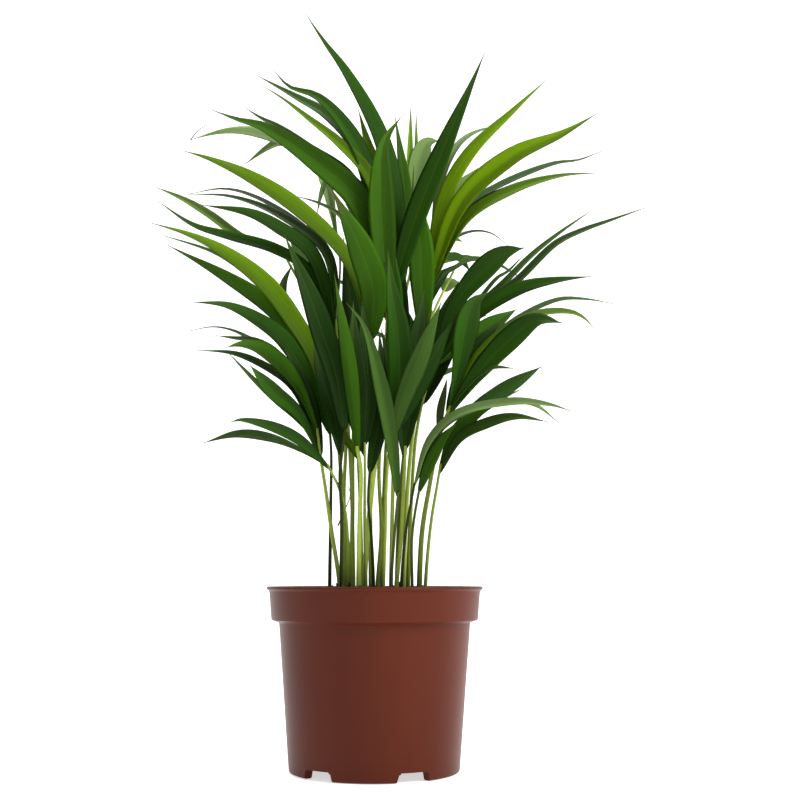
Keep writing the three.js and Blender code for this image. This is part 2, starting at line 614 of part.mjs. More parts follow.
// ---- growing the clump: no blade crosses another frond ----
const taken = [];

function take(owner, shape) {
  taken.push({ owner, shape, box: shape.boundingBox() });
}

function apart(a, b) {
  return [0, 1, 2].some((i) => a.min[i] > b.max[i] || b.min[i] > a.max[i]);
}

function isClear(owner, shape) {
  const box = shape.boundingBox();
  return taken.every((t) => t.owner === owner || apart(t.box, box) || t.shape.intersect(shape).isEmpty());
}

// Leans a leaflet a little further each time, to one side and the other, until it hangs free.
// One that would cross another frond all the way is left off.
function freeBlade(name, leaflet) {
  for (let step = 0; step <= LEAN_STEPS; step += 1) {
    for (const way of step ? [1, -1] : [1]) {
      const curve = leaflet.leaning(way * step * LEAN_STEP);
      if (leaflet.bounded && !inHeart(curve.getPoint(1))) continue;
      if (isClear(name, bladeShape(leaflet, curve, BLADE_CLEARANCE))) return bladeShape(leaflet, curve, 0);
    }
  }
  return null;
}

// Fills any hollow that the joining seals in.
function largestPiece(shape) {
  return shape.decompose().reduce((best, piece) => (piece.volume() > best.volume() ? piece : best));
}

function grow(frond) {
  let whole = stalkShape(frond.stalk, 0);
  for (const leaflet of frond.leaflets) {
    const blade = freeBlade(frond.name, leaflet);
    if (!blade) continue;
    take(frond.name, blade);
    whole = whole.add(blade);
  }
  return largestPiece(whole);
}

const fronds = Object.entries(FRONDS).map(([name, frond]) => sightedFrond(name, frond));
for (let i = 0; i < BACK_FRONDS; i += 1) fronds.push(backFrond(i));

const pot = potSolid();
take("pot", pot);
for (const frond of fronds) take(frond.name, stalkShape(frond.stalk, STALK_ROOM));

const palm = new THREE.Group();
palm.name = "potted_palm";
palm.add(meshOf("pot", pot, POT_BROWN, 0.55));
palm.add(meshOf("soil", soilSolid(fronds.map((f) => stalkShape(f.stalk, GAP))), SOIL_BROWN, 0.95));
fronds.forEach((frond, i) => {
  palm.add(meshOf(frond.name, grow(frond), LEAF_GREEN[i % LEAF_GREEN.length], 0.5));
});

export default palm;
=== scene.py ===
"""A young palm in a round brown nursery pot: its looks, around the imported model. Lengths are in mm."""

import math

import bmesh
import bpy
import numpy as np
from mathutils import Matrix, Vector


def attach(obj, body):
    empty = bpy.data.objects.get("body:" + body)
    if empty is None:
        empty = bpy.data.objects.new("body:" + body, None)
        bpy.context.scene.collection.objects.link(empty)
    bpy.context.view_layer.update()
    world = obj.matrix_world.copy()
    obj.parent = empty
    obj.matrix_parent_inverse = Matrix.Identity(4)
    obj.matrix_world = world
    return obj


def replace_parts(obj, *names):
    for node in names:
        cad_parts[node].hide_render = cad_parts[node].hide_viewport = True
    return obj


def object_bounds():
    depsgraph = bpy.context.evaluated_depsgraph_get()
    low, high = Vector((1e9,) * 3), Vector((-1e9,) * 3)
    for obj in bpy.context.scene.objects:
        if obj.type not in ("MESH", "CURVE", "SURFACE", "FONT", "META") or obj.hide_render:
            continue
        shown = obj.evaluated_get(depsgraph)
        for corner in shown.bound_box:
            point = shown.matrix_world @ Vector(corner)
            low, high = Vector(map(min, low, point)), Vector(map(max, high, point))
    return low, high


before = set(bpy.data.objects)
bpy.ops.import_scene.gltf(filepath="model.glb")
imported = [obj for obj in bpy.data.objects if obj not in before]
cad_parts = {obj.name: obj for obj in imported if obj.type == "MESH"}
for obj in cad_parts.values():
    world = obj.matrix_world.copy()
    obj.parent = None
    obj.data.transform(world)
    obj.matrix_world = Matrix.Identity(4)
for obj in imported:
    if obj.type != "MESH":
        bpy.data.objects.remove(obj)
CAD_LOW, CAD_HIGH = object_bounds()
MM = 0.001

# ---- sizes that repeat the construction's ----
POT_HEIGHT = 99.4
RIM_RADIUS = 60.0
COLLAR_TOP_RADIUS = 58.5
COLLAR_FOOT_RADIUS = 57.2
COLLAR_FOOT = 81.2
STEP_DROP = 1.4
BODY_TOP_RADIUS = 52.9
BODY_LOW_RADIUS = 48.2
BODY_LOW = 19.0
BASE_RADIUS = 46.7
WALL = 1.5
FOOT_HEIGHT = 5.0
FOOT_DEPTH = 4.8
PAD_RADIUS = 7.0
NOTCH_TURNS = (-38.5, 27.5, 101, 174.5, -112)  # degrees from the front, - is left
NOTCH_ANGLE_LOW = 25.0
NOTCH_ANGLE_HIGH = 21.0
DRAIN_RADIUS = 3.0
DRAIN_PLACE = 30.0
SOIL_TOP = 88.5
STALK_FOOT = 64.0
STALK_CURL = 1.4
BLADE_FOLD = 0.12
BLADE_ROOT_WIDTH = 1.3
BLADE_TIP_WIDTH = 0.5
BLADE_FULLNESS = (0.66, 1.5)
LEAN_STEP = 4.0
LEAN_STEPS = 14
EYE = np.array([14.0, -700.0, 103.5])
BACK_FRONDS = 8
BACK_AZIMUTH = [42, 138]
BACK_FOOT_RADIUS = 23
BACK_HEIGHT = [205, 318]
BACK_REACH = [38, 74]
BACK_LEAFLETS = 7
BACK_LEAFLET_LENGTH = [58, 88]
BACK_LEAFLET_WIDTH = [8, 12]
BACK_BELLY = 0.42
BACK_THICK = [2.7, 1.5]
HEART = {"x": 4, "z": 262, "half_width": 66, "half_height": 92}

# ---- sizes of the finish ----
BLADE_ROWS = 30
BLADE_COLUMNS = (-1, -0.72, -0.42, -0.16, -0.05, 0, 0.05, 0.16, 0.42, 0.72, 1)
LEAF_THICKNESS = 0.42
CURL = 0.35
RIB_HEIGHT = 0.1
# Painted light and shade on a folded leaflet: how much one half is lightened and the other darkened, as if the
# halves caught different light.
FOLD_LIGHT_AND_SHADE = (0.28, -0.24)  # one half of a folded leaflet against the other, either of them by its seed
TIP_PALENESS = 0.35
TIP_TOLERANCE = 0.3  # a leaflet's lean is its solid's where their tips are this close
STALK_AROUND = 14
SHEATH_HEIGHT = (7, 16)
POT_AROUND = 168
SOIL_GRAIN = 0.9
CRUMBS = 420
CRUMB_SIZE = (0.35, 1.5)
FOOT_ROUNDING = 0.9

# Tones as seen, written as 8-bit red, green and blue.
TONES = {
    # lime: painted light, the glow of light shining through a leaflet from behind
    "lime": (88, 118, 1),
    "light": (70, 98, 2),
    "mid": (37, 70, 1),
    "deep": (22, 53, 1),
    # night: painted shade, for leaflets deep inside the plant
    "night": (10, 33, 2),
    # dusk and sage: grey-green leaf colour with a painted sheen
    "dusk": (40, 62, 19),
    "sage": (88, 110, 60),
    "reed": (124, 140, 56),
    "olive": (98, 114, 42),
    "bark": (50, 58, 26),
}
TIP_TONE = (70, 50, 32)
# Leaflets with a wide dry end, by frond and place in its list, and where on the blade it starts.
DRY_ENDS = {("frond_centre_left", 1): 0.8, ("frond_right_high", 7): 0.86, ("frond_top", 0): 0.97}
SHEATH_TONE = (20, 22, 12)

# Dry threads by frond: points as sighted, depth, thickness.
THREADS = {
    "frond_top": [([[-109, 358.5], [-104, 365], [-96, 369]], 38, 0.7)],
    "frond_right_base": [([[47.6, 88], [47.4, 96], [48.6, 104]], -20, 0.6)],
    "frond_left_mid": [([[-20.8, 133], [-17.5, 141], [-14, 150], [-16, 158]], -10, 0.8)],
}

# The fronds, sighted from EYE: an [x, z] is where a point shows on the plane through the pot's axis.
# Stalk: [x, z] from the soil up, depth at the soil and the top, diameters there. Leaflet: tone, width,
# how far up it is widest, turn in degrees, depth of the tip, then its middle line up to the tip.
FRONDS = {
    "frond_top": {
        "tone": "reed",
        "stalk": [[-6, 100], [-2.3, 149], [3.3, 195], [6, 235], [7, 262]],
        "depth": [-4, 2],
        "thick": [3.5, 2],
        "leaflets": [
            ["mid", 16, 0.48, 10, -18, [7, 258], [5, 290], [3, 330], [4.8, 357], [14.8, 373]],
            ["deep", 12.5, 0.4, 30, 22, [7, 262], [12, 318], [3, 360], [-17.3, 400], [-31, 419.5],
              [-43, 438]],
            ["deep", 13.5, 0.42, -18, -26, [7, 258], [24, 315], [42.5, 361], [55, 390], [64.5, 413]],
            ["mid", 15.5, 0.44, 12, -14, [6.5, 250], [-7.5, 318.5], [-35, 346], [-67, 367], [-81, 371],
             [-97.5, 377.2]],
            ["deep", 8.5, 0.68, 45, 8, [7, 262], [-13, 334], [-40.5, 354.7], [-58, 367], [-69, 372.8],
             [-78.5, 379.3]],
            ["deep", 12, 0.48, 32, 10, [7, 260], [-4, 338], [-14.5, 362.5], [-34.5, 385.3], [-51.7, 391.6],
             [-61.5, 402.5]],
            ["deep", 12.5, 0.55, 44, 26, [7, 262], [-10, 351], [-29, 374.5], [-46.3, 384.8], [-72, 399]],
            ["light", 9, 0.45, 35, 0, [7, 262], [-3, 335], [-20.7, 356.3], [-40.7, 372.8], [-54.8, 383.8],
             [-69, 393]],
            ["sage", 12, 0.68, 52, 38, [7, 262], [-20, 336], [-45, 354], [-73, 364], [-90, 364],
              [-110, 358.3]],
            ["sage", 13.5, 0.66, 44, 50, [7, 262], [-20, 331], [-42, 352.5], [-57, 357.5], [-78.5, 342.5]],
            ["light", 9, 0.55, 20, 14, [7, 262], [1, 335], [-5, 357], [-10.8, 378]],
            ["deep", 11, 0.5, 5, -2, [6, 222], [11, 250], [7.5, 285], [3, 318]],
        ],
    },
    "frond_right_high": {
        "tone": "reed",
        "stalk": [[16, 100], [17.5, 140], [19.5, 169], [25, 215], [28, 245], [31, 275]],
        "depth": [6, 14],
        "thick": [3.2, 1.7],
        "leaflets": [
            ["lime", 10, 0.42, -28, 4, [31, 272], [39.5, 322], [55, 351], [80, 376], [101.5, 396.5]],
            ["lime", 13, 0.48, -28, -22, [31, 270], [49, 320.5], [79.6, 348.9], [110, 362.8], [131.5, 375.6]],
            ["deep", 8.5, 0.54, -64, 46, [31, 275], [52, 317.5], [72.3, 331.4], [104.3, 344.5],
             [118.9, 346.6], [135, 353]],
            ["light", 9.5, 0.45, -42, 30, [30, 268], [52, 311.5], [79.7, 328.7], [108, 337], [131, 338.4]],
            ["sage", 8, 0.55, -55, 58, [31, 275], [38, 335], [50, 358], [66, 366], [75, 364]],
            ["sage", 12, 0.6, -25, 42, [31, 275], [41, 315], [49, 330], [60, 342]],
            ["deep", 6, 0.42, -64, 56, [31, 275], [35.7, 291.5], [45.9, 299.6], [53.2, 302.9], [60.5, 303.7],
             [67.7, 301.8], [76, 295.5]],
            ["mid", 15.5, 0.5, 8, -10, [28, 238], [27, 270], [26, 300], [23.6, 330]],
            ["deep", 8, 0.7, -50, 44, [30, 268], [37.2, 286.2], [42.2, 288], [48.7, 287.2], [55, 279]],
            ["night", 8, 0.5, -20, 30, [29.5, 258], [33.5, 270], [38, 277], [46, 283.5]],
            ["dusk", 5, 0.6, -55, 52, [30.5, 262], [37.9, 275.8], [45.8, 281.7], [53.1, 286.2], [59.6, 286.9],
             [71.8, 283.2], [88, 272.5]],
        ],
    },
    "frond_centre_left": {
        "tone": "olive",
        "stalk": [[-13, 100], [-12.7, 140], [-12, 190], [-6, 225], [-2, 246]],
        "depth": [-12, -10],
        "thick": [2.9, 1.7],
        "leaflets": [
            ["light", 11, 0.52, 28, -34, [-2, 244], [-17.6, 289], [-45, 317.3], [-73, 336], [-98, 347.3],
             [-114.5, 352.3]],
            ["mid", 17, 0.42, 10, -46, [-3, 238], [-1, 268], [-9, 294], [-17, 311], [-26.5, 330]],
            ["sage", 7.5, 0.55, 58, 12, [-2, 244], [-12, 296], [-20.7, 312.8], [-33.3, 320.4], [-49, 325]],
            ["night", 13, 0.45, 15, 6, [-10.5, 200], [-11, 228], [-14, 262], [-19, 300]],
        ],
    },
    "frond_left_upper": {
        "tone": "olive",
        "stalk": [[-12.5, 100], [-17.5, 145], [-16.7, 185], [-21, 225], [-23, 252]],
        "depth": [8, 16],
        "thick": [3, 1.4],
        "leaflets": [
            ["deep", 9, 0.42, 62, 46, [-21, 240], [-25, 282], [-41, 305.3], [-69, 323.6], [-88.8, 329],
             [-110, 325.5]],
            ["dusk", 9.5, 0.42, 50, 28, [-22, 244], [-28.5, 290.8], [-55, 312.8], [-84.2, 324.3],
             [-110.5, 325.6]],
            ["deep", 10, 0.47, 28, -8, [-23, 246], [-37, 290.6], [-56, 305.5], [-73.1, 314.3], [-102, 319.2]],
            ["deep", 9, 0.44, 40, 8, [-22, 236], [-38, 279.2], [-58, 292.8], [-86.9, 301.3], [-105.6, 307],
             [-128, 321.9]],
            ["light", 8.5, 0.7, 48, 44, [-22, 238], [-42, 283], [-64, 294], [-79, 300.5], [-97, 313.7],
             [-112, 322.7], [-130, 330.5]],
            ["night", 13, 0.5, 20, 24, [-19, 205], [-25, 235], [-31, 262], [-40, 292]],
            ["sage", 8, 0.86, 30, 62, [-23, 250], [-20.7, 286], [-23.8, 303.5], [-27.5, 320.6], [-29.5, 332],
             [-33.5, 343]],
            ["sage", 5, 0.8, 40, 56, [-23, 250], [-20.5, 286], [-23.5, 305], [-26, 325], [-29, 334],
             [-32.5, 324], [-34.3, 313]],
        ],
    },
    "frond_left_high": {
        "tone": "bark",
        "stalk": [[-25.2, 100], [-24.9, 152], [-25, 176], [-27, 198]],
        "depth": [0, 2],
        "thick": [2.6, 1.5],
        "leaflets": [
            ["deep", 10.5, 0.5, 28, -34, [-25.5, 184], [-40, 219.5], [-53, 240], [-67, 250.8], [-85, 259.4],
             [-107, 261.4]],
            ["mid", 12.3, 0.44, 32, 24, [-27, 197], [-42, 238], [-61, 259], [-88, 277.3], [-122.5, 296]],
            ["light", 11.5, 0.44, 22, -22, [-26.5, 192], [-34, 228], [-46, 249.3], [-62, 271], [-86, 290.3],
             [-108, 301.3], [-132.5, 308.8]],
            ["mid", 8, 0.45, 50, 38, [-27, 197], [-46, 247], [-64, 269], [-90, 289], [-127, 302]],
            ["night", 12, 0.5, 15, 14, [-26, 188], [-29, 215], [-33, 240], [-40, 268]],
            ["sage", 8, 0.66, 30, 30, [-27, 196], [-35, 229], [-46, 249], [-53.5, 262],
              [-53, 272.5], [-48, 284]],
        ],
    },
    "frond_left_mid": {
        "tone": "reed",
        "stalk": [[-19.6, 100], [-24.2, 129], [-28.2, 155], [-31, 172], [-33, 188]],
        "depth": [-9, -18],
        "thick": [3, 1.5],
        "leaflets": [
            ["deep", 9, 0.66, 15, -52, [-31, 172], [-43.6, 196.6], [-57.6, 208.8], [-72, 224.6]],
            ["dusk", 7, 0.5, 55, -38, [-32, 180], [-46, 195.5], [-55.9, 203.8], [-66.6, 213.5],
              [-84.3, 231.6]],
            ["dusk", 8, 0.42, 52, -6, [-32, 180], [-45.9, 210.2], [-58, 221], [-79.6, 231.1], [-103, 233.2]],
            ["mid", 10, 0.6, 25, -30, [-33, 187], [-44, 213], [-55, 226.7], [-68, 235.5], [-77.7, 236.6],
             [-86, 234.6]],
            ["dusk", 5.5, 0.66, 50, -16, [-33, 188], [-53.5, 229.5], [-69, 239], [-80.6, 240.3],
              [-92, 241.7]],
            ["deep", 7.5, 0.45, 66, 8, [-33, 188], [-52, 227.8], [-71.5, 239.9], [-83.1, 245.3],
             [-94.2, 246.9], [-107.5, 244.2]],
            ["night", 11, 0.45, 25, -4, [-31, 172], [-37, 198], [-43, 217], [-52, 234]],
        ],
    },
    "frond_left_low": {
        "tone": "olive",
        "stalk": [[-15.3, 100], [-16, 135], [-19.5, 152], [-27, 167.5]],
        "depth": [-18, -30],
        "thick": [2.6, 1.4],
        "leaflets": [
            ["deep", 8, 0.5, 40, -62, [-26, 165], [-41.8, 180.7], [-57.8, 188.8], [-75, 192.8],
              [-82.5, 191.7]],
            ["dusk", 8, 0.58, 52, -12, [-26.5, 166], [-38.8, 174], [-58, 182.3], [-78.2, 185],
              [-98.5, 179.4]],
        ],
    },
    "frond_dusky": {
        "tone": "bark",
        "stalk": [[-18.8, 100], [-18.8, 140], [-19.9, 163], [-17, 188]],
        "depth": [-23, -33],
        "thick": [2.6, 1.7],
        "leaflets": [
            ["night", 14, 0.45, 18, -44, [-17, 186], [-22, 218], [-30, 243], [-38, 266], [-53.5, 302]],
            ["night", 11, 0.48, 20, -22, [-19, 172], [-23, 195], [-30, 218], [-36, 240]],
        ],
    },
    "frond_bright": {
        "tone": "reed",
        "stalk": [[-9, 100], [-8.6, 140], [-8.2, 165], [-10.5, 178]],
        "depth": [-23, -29],
        "thick": [3.3, 2],
        "leaflets": [
            ["mid", 9, 0.45, 28, -50, [-10.5, 174], [-14, 218], [-19, 250], [-24, 278]],
            ["light", 6, 0.4, 40, -36, [-9, 170], [-16, 181], [-21, 190], [-21, 205]],
            ["night", 12, 0.48, 15, -24, [-10, 174], [-9.5, 205], [-12, 235], [-13, 262]],
        ],
    },
    "frond_inner_left": {
        "tone": "olive",
        "stalk": [[-5, 100], [-5.8, 136], [-5.8, 165], [-6, 180]],
        "depth": [-15, -17],
        "thick": [2.6, 1.5],
        "leaflets": [
            ["night", 13, 0.5, 12, -16, [-6, 178], [-3.5, 205], [-5, 232], [-8, 262]],
            ["night", 10, 0.5, 25, -20, [-6.3, 172], [-13, 198], [-19, 222], [-25, 246]],
        ],
    },
    "frond_shade": {
        "tone": "bark",
        "stalk": [[-0.7, 100], [-2.2, 129], [-3.9, 146], [-3, 166]],
        "depth": [-9, -10],
        "thick": [2.3, 1.4],
        "leaflets": [
            ["night", 11, 0.45, 15, -4, [-3, 163], [2, 190], [4, 215], [2, 245]],
        ],
    },
    "frond_silver": {
        "tone": "bark",
        "stalk": [[9, 100], [11.5, 135], [13, 152]],
        "depth": [-27, -36],
        "thick": [2, 1.4],
        "leaflets": [
            ["dusk", 9, 0.45, 28, -60, [13, 149], [9.5, 180], [3, 214], [-7, 248], [-17, 261]],
        ],
    },
    "frond_centre_right": {
        "tone": "reed",
        "stalk": [[4.5, 100], [5.7, 135], [6, 152], [8, 176], [11, 190]],
        "depth": [-15, -18],
        "thick": [3.3, 1.8],
        "leaflets": [
            ["dusk", 11.5, 0.5, 22, -42, [9.5, 181], [17, 208], [25.5, 229], [38, 262]],
            ["night", 11, 0.5, 22, -24, [10, 184], [21, 204], [31, 225], [46, 253]],
            ["night", 13, 0.5, 15, -4, [11, 188], [17, 212], [23, 235], [28, 268]],
            ["deep", 14, 0.45, 8, -30, [9.5, 182], [14, 218], [13, 245], [9, 272], [7, 292]],
        ],
    },
    "frond_inner_right": {
        "tone": "reed",
        "stalk": [[12, 100], [14, 119.5], [15.8, 147.4], [17, 178]],
        "depth": [-10, -9],
        "thick": [2.9, 1.7],
        "leaflets": [
            ["night", 12, 0.5, -8, 4, [17, 176], [21, 204], [25, 230], [31, 256]],
            ["night", 9, 0.5, 20, -12, [16.5, 170], [14, 196], [9.5, 220], [3, 246]],
        ],
    },
    "frond_centre_back": {
        "tone": "olive",
        "stalk": [[1.5, 100], [3.5, 129], [2.2, 169], [8, 215], [14, 250], [17, 278]],
        "depth": [12, 24],
        "thick": [2.9, 1.4],
        "leaflets": [
            ["mid", 8, 0.45, 20, 32, [17, 275], [17, 330], [14.5, 350], [11, 374]],
            ["light", 8, 0.5, 50, 42, [17, 278], [19.5, 332], [20.4, 381]],
            ["light", 6, 0.5, 55, 50, [17, 278], [23, 332], [23.6, 377]],
            ["sage", 15, 0.7, 25, 60, [16, 270], [22, 325], [26.8, 349], [31, 357], [37, 358]],
            ["night", 13, 0.45, 10, 20, [7, 205], [12, 232], [14, 262], [16, 292]],
        ],
    },
    "frond_right_mid": {
        "tone": "reed",
        "stalk": [[18.5, 100], [20, 140], [23.6, 187], [30, 214], [38, 230]],
        "depth": [-1, -7],
        "thick": [3, 1.5],
        "leaflets": [
            ["deep", 14, 0.74, -20, -34, [30, 212], [43, 255.5], [60, 278.5], [74, 290], [86.5, 293.5]],
            ["mid", 7, 0.45, -52, 12, [38, 229], [56.5, 256], [74.4, 273.3], [90.3, 289.4], [105.9, 302],
             [126.5, 316.5]],
            ["dusk", 7.5, 0.52, -52, -42, [38, 230], [60.5, 259.5], [80.6, 273.4], [104.4, 296.3],
             [120.5, 304.3], [134.7, 309.4], [158, 317.8]],
            ["deep", 9, 0.5, -33, -48, [37, 227], [58, 254], [82, 269], [102, 274], [125.5, 276.5]],
            ["mid", 11.5, 0.6, -28, 14, [36, 224], [50, 236.5], [65, 247.3], [81.5, 257.3]],
            ["night", 12, 0.45, -15, 2, [27, 202], [36, 224], [45, 246], [54, 268]],
            ["deep", 4.5, 0.5, -50, 8, [37, 228], [52, 252], [63, 267.3], [70.3, 275.8], [76.4, 279.6],
             [85.8, 289.5]],
            ["night", 8.5, 0.5, -10, -2, [30, 212], [35, 240], [41, 258], [48, 274]],
        ],
    },
    "frond_right_low": {
        "tone": "olive",
        "stalk": [[24.8, 100], [26.4, 130], [30, 152], [34.7, 176], [38.7, 191], [43, 201]],
        "depth": [-10, -18],
        "thick": [3.5, 1.8],
        "leaflets": [
            ["dusk", 7.5, 0.48, -60, 4, [43, 199], [60.5, 233], [77.6, 249.4], [104.6, 262.8], [120.6, 263.2],
             [137, 260.3]],
            ["light", 9, 0.68, -58, -20, [43, 200], [58.5, 232], [80.5, 249.9], [98.4, 255.8], [113.7, 255.3],
             [120.7, 251.3], [126, 245]],
            ["deep", 14.5, 0.6, -25, -58, [41, 193], [56.8, 218.3], [77, 240], [92.8, 250.8], [107.5, 249]],
            ["dusk", 4.5, 0.6, -60, -62, [43, 199], [56, 216], [66.6, 222.8], [79, 222.6]],
            ["deep", 14, 0.66, 15, -32, [43, 198], [48, 225], [52, 245], [57, 261], [65, 267]],
            ["night", 13, 0.5, -20, -8, [42, 196], [51, 220], [60, 236], [72, 250]],
            ["bark", 4.5, 0.5, -10, -12, [36, 182], [37, 198], [39, 208], [41, 217]],
        ],
    },
    "frond_right_base": {
        "tone": "olive",
        "stalk": [[28.2, 100], [31.4, 134.5], [35, 156], [37, 168]],
        "depth": [-17, -25],
        "thick": [2.6, 1.5],
        "leaflets": [
            ["dusk", 7.5, 0.52, -38, -64, [36, 162], [48, 183], [65, 191.7], [80, 194.8], [98, 191.8]],
            ["mid", 10, 0.5, -35, -34, [36, 164], [48, 188], [60, 198], [70, 204]],
            ["deep", 10.5, 0.68, -34, 2, [37, 167], [53.3, 195.9], [71.1, 209], [95.3, 223.9]],
            ["mid", 6.5, 0.5, -58, 20, [37, 168], [54, 191.5], [72, 205], [84, 211]],
        ],
    },
    "frond_arching": {
        "tone": "bark",
        "stalk": [[14.8, 100], [17.3, 130], [22.3, 157]],
        "depth": [-25, -32],
        "thick": [2.3, 1.4],
        "leaflets": [
            ["sage", 8.5, 0.58, -50, -78, [21.8, 154], [30.5, 181.5], [46.5, 196.7], [78, 203.6],
             [98.4, 201.9], [111.5, 197.9]],
            ["sage", 8, 0.6, -60, -52, [22.2, 156], [38.5, 188.5], [66, 202.3], [89, 202.3], [105, 190.8]],
        ],
    },
    "frond_small": {
        "tone": "bark",
        "stalk": [[20.8, 100], [20.6, 125], [22.3, 139.5], [24.8, 153]],
        "depth": [-28, -34],
        "thick": [1.9, 1.4],
        "leaflets": [
            ["mid", 8, 0.5, -30, -42, [24.6, 152], [31.2, 169.5], [38.1, 182.2], [46.3, 191.5]],
        ],
    },
}


# ---- small helpers ----
def lerp(low, high, share):
    return low + (high - low) * share


def linear(tone):
    """An 8-bit tone as the linear colour that a shader takes."""
    parts = [c / 255 for c in tone]
    return np.array([c / 12.92 if c <= 0.04045 else ((c + 0.055) / 1.055) ** 2.4 for c in parts])


def draw(seed):
    """A number from 0 to 1 that depends only on the seed."""
    x = math.sin(seed * 12.9898) * 43758.5453
    return x - math.floor(x)


def between(span, seed):
    return lerp(span[0], span[1], draw(seed))


def unit(v):
    return v / max(np.linalg.norm(v), 1e-12)


def turned(v, axis, angle):
    """v turned about a unit axis."""
    c, s = math.cos(angle), math.sin(angle)
    return v * c + np.cross(axis, v) * s + axis * float(axis @ v) * (1 - c)


class Curve:
    """A centripetal Catmull-Rom curve through its points, walked by its own length."""

    def __init__(self, points):
        self.points = [np.array(p, float) for p in points]
        spots = [self.at(i / 200) for i in range(201)]
        steps = [np.linalg.norm(b - a) for a, b in zip(spots, spots[1:])]
        self.lengths = np.concatenate([[0], np.cumsum(steps)])
        self.length = float(self.lengths[-1])

    def at(self, t):
        p = self.points
        last = len(p) - 1
        whole = min(int(last * t), last - 1)
        w = last * t - whole
        p1, p2 = p[whole], p[whole + 1]
        p0 = p[whole - 1] if whole else 2 * p[0] - p[1]
        p3 = p[whole + 2] if whole + 2 <= last else 2 * p[last] - p[last - 1]
        d0, d1, d2 = (max(np.linalg.norm(b - a), 1e-6) ** 0.5 for a, b in ((p0, p1), (p1, p2), (p2, p3)))
        t1 = ((p1 - p0) / d0 - (p2 - p0) / (d0 + d1) + (p2 - p1) / d1) * d1
        t2 = ((p2 - p1) / d1 - (p3 - p1) / (d1 + d2) + (p3 - p2) / d2) * d1
        return p1 + t1 * w + (3 * (p2 - p1) - 2 * t1 - t2) * w**2 + (2 * (p1 - p2) + t1 + t2) * w**3

    def along(self, share):
        t = np.interp(share * self.length, self.lengths, np.linspace(0, 1, 201))
        return self.at(float(t))

    def way(self, share):
        return unit(self.along(min(1, share + 0.002)) - self.along(max(0, share - 0.002)))


# ---- where the fronds grow ----
def sighted(spot, depth):
    on_plane = np.array([spot[0], 0.0, spot[1]])
    return EYE + (on_plane - EYE) * (depth - EYE[1]) / -EYE[1]


def seen(p):
    """Where a point shows on the plane through the pot's axis."""
    k = EYE[1] / (EYE[1] - p[1])
    return np.array([EYE[0] + (p[0] - EYE[0]) * k, EYE[2] + (p[2] - EYE[2]) * k])


def stalk_of(points, thick, tone):
    foot = points[0]
    buried = [[foot[0], foot[1], STALK_FOOT], [foot[0], foot[1], SOIL_TOP]]
    return {"curve": Curve([*buried, *points]), "thick": thick, "tone": tone}


def nearest_on(curve, spot):
    spots = [curve.at(i / 120) for i in range(119)]
    return min(spots, key=lambda p: np.linalg.norm(seen(p) - spot))


def sighted_frond(name, frond):
    last = len(frond["stalk"]) - 1
    depths = [lerp(*frond["depth"], (i / last) ** STALK_CURL) for i in range(last + 1)]
    points = [sighted(spot, depth) for spot, depth in zip(frond["stalk"], depths)]
    stalk = stalk_of(points, frond["thick"], frond["tone"])
    leaflets = []
    for place, (tone, width, belly, turn, tip_depth, root_spot, *spots) in enumerate(frond["leaflets"]):
        root = nearest_on(stalk["curve"], root_spot)

        def leaning(lean, root=root, spots=spots, tip_depth=tip_depth):
            way = tip_depth + lean - root[1]
            laid = [sighted(s, root[1] + way * (i + 1) / len(spots)) for i, s in enumerate(spots)]
            return [root, *laid]

        leaflet = {"tone": tone, "width": width, "belly": belly, "turn": math.radians(turn)}
        leaflet["dry_from"] = DRY_ENDS.get((name, place), lerp(0.94, 0.99, draw(place + width)))
        leaflets.append({**leaflet, "facing": unit(root - EYE), "leaning": leaning})
    return {"name": name, "stalk": stalk, "leaflets": leaflets}


def heading(degrees, rise):
    a = math.radians(degrees)
    return unit(np.array([math.cos(a), math.sin(a), rise]))


def in_heart(p):
    x, z = seen(p)
    return math.hypot((x - HEART["x"]) / HEART["half_width"], (z - HEART["z"]) / HEART["half_height"]) < 1


def back_frond(index):
    seed = 10 + index * 31
    azimuth = lerp(*BACK_AZIMUTH, index / (BACK_FRONDS - 1)) + 6 * (draw(seed) - 0.5)
    height = between(BACK_HEIGHT, seed + 1) if index % 2 else BACK_HEIGHT[1] - 30 * draw(seed + 1)
    reach = between(BACK_REACH, seed + 2)
    out, up = heading(azimuth, 0), np.array([0.0, 0.0, 1.0])
    climb = height - 100
    points = [
        out * BACK_FOOT_RADIUS + up * 100,
        out * (BACK_FOOT_RADIUS + 0.12 * reach) + up * (100 + 0.4 * climb),
        out * (BACK_FOOT_RADIUS + 0.45 * reach) + up * (100 + 0.78 * climb),
        out * (BACK_FOOT_RADIUS + reach) + up * height,
    ]
    stalk = stalk_of(points, BACK_THICK, "olive" if index % 2 else "reed")
    leaflets = []
    for i in range(BACK_LEAFLETS):
        s = 0.62 + 0.36 * i / (BACK_LEAFLETS - 1)
        root = stalk["curve"].at(s)
        hand = 1 if i % 2 else -1
        spread = 8 if i == BACK_LEAFLETS - 1 else 62 - 36 * (s - 0.62) / 0.38
        length = between(BACK_LEAFLET_LENGTH, seed + 40 + i)
        way = heading(azimuth + hand * spread, 0.9 - 0.5 * draw(seed + 60 + i))
        droop = 0.16 + 0.2 * draw(seed + 80 + i)

        def leaning(lean, root=root, way=way, length=length, droop=droop):
            sinks = [(k, (lean - droop * length) * k * k) for k in (0.35, 0.7, 1)]
            return [root, *(root + way * k * length + up * sink for k, sink in sinks)]

        if not in_heart(leaning(0)[-1]):
            continue
        leaflets.append(
            {
                "tone": ("mid", "deep", "light")[int(3 * draw(seed + 140 + i))],
                "width": between(BACK_LEAFLET_WIDTH, seed + 100 + i),
                "belly": BACK_BELLY,
                "dry_from": lerp(0.93, 0.99, draw(seed + 160 + i)),
                "turn": math.radians(hand * (14 + 20 * draw(seed + 120 + i))),
                "facing": up,
                "leaning": leaning,
            }
        )
    return {"name": f"frond_back_{index + 1}", "stalk": stalk, "leaflets": leaflets}


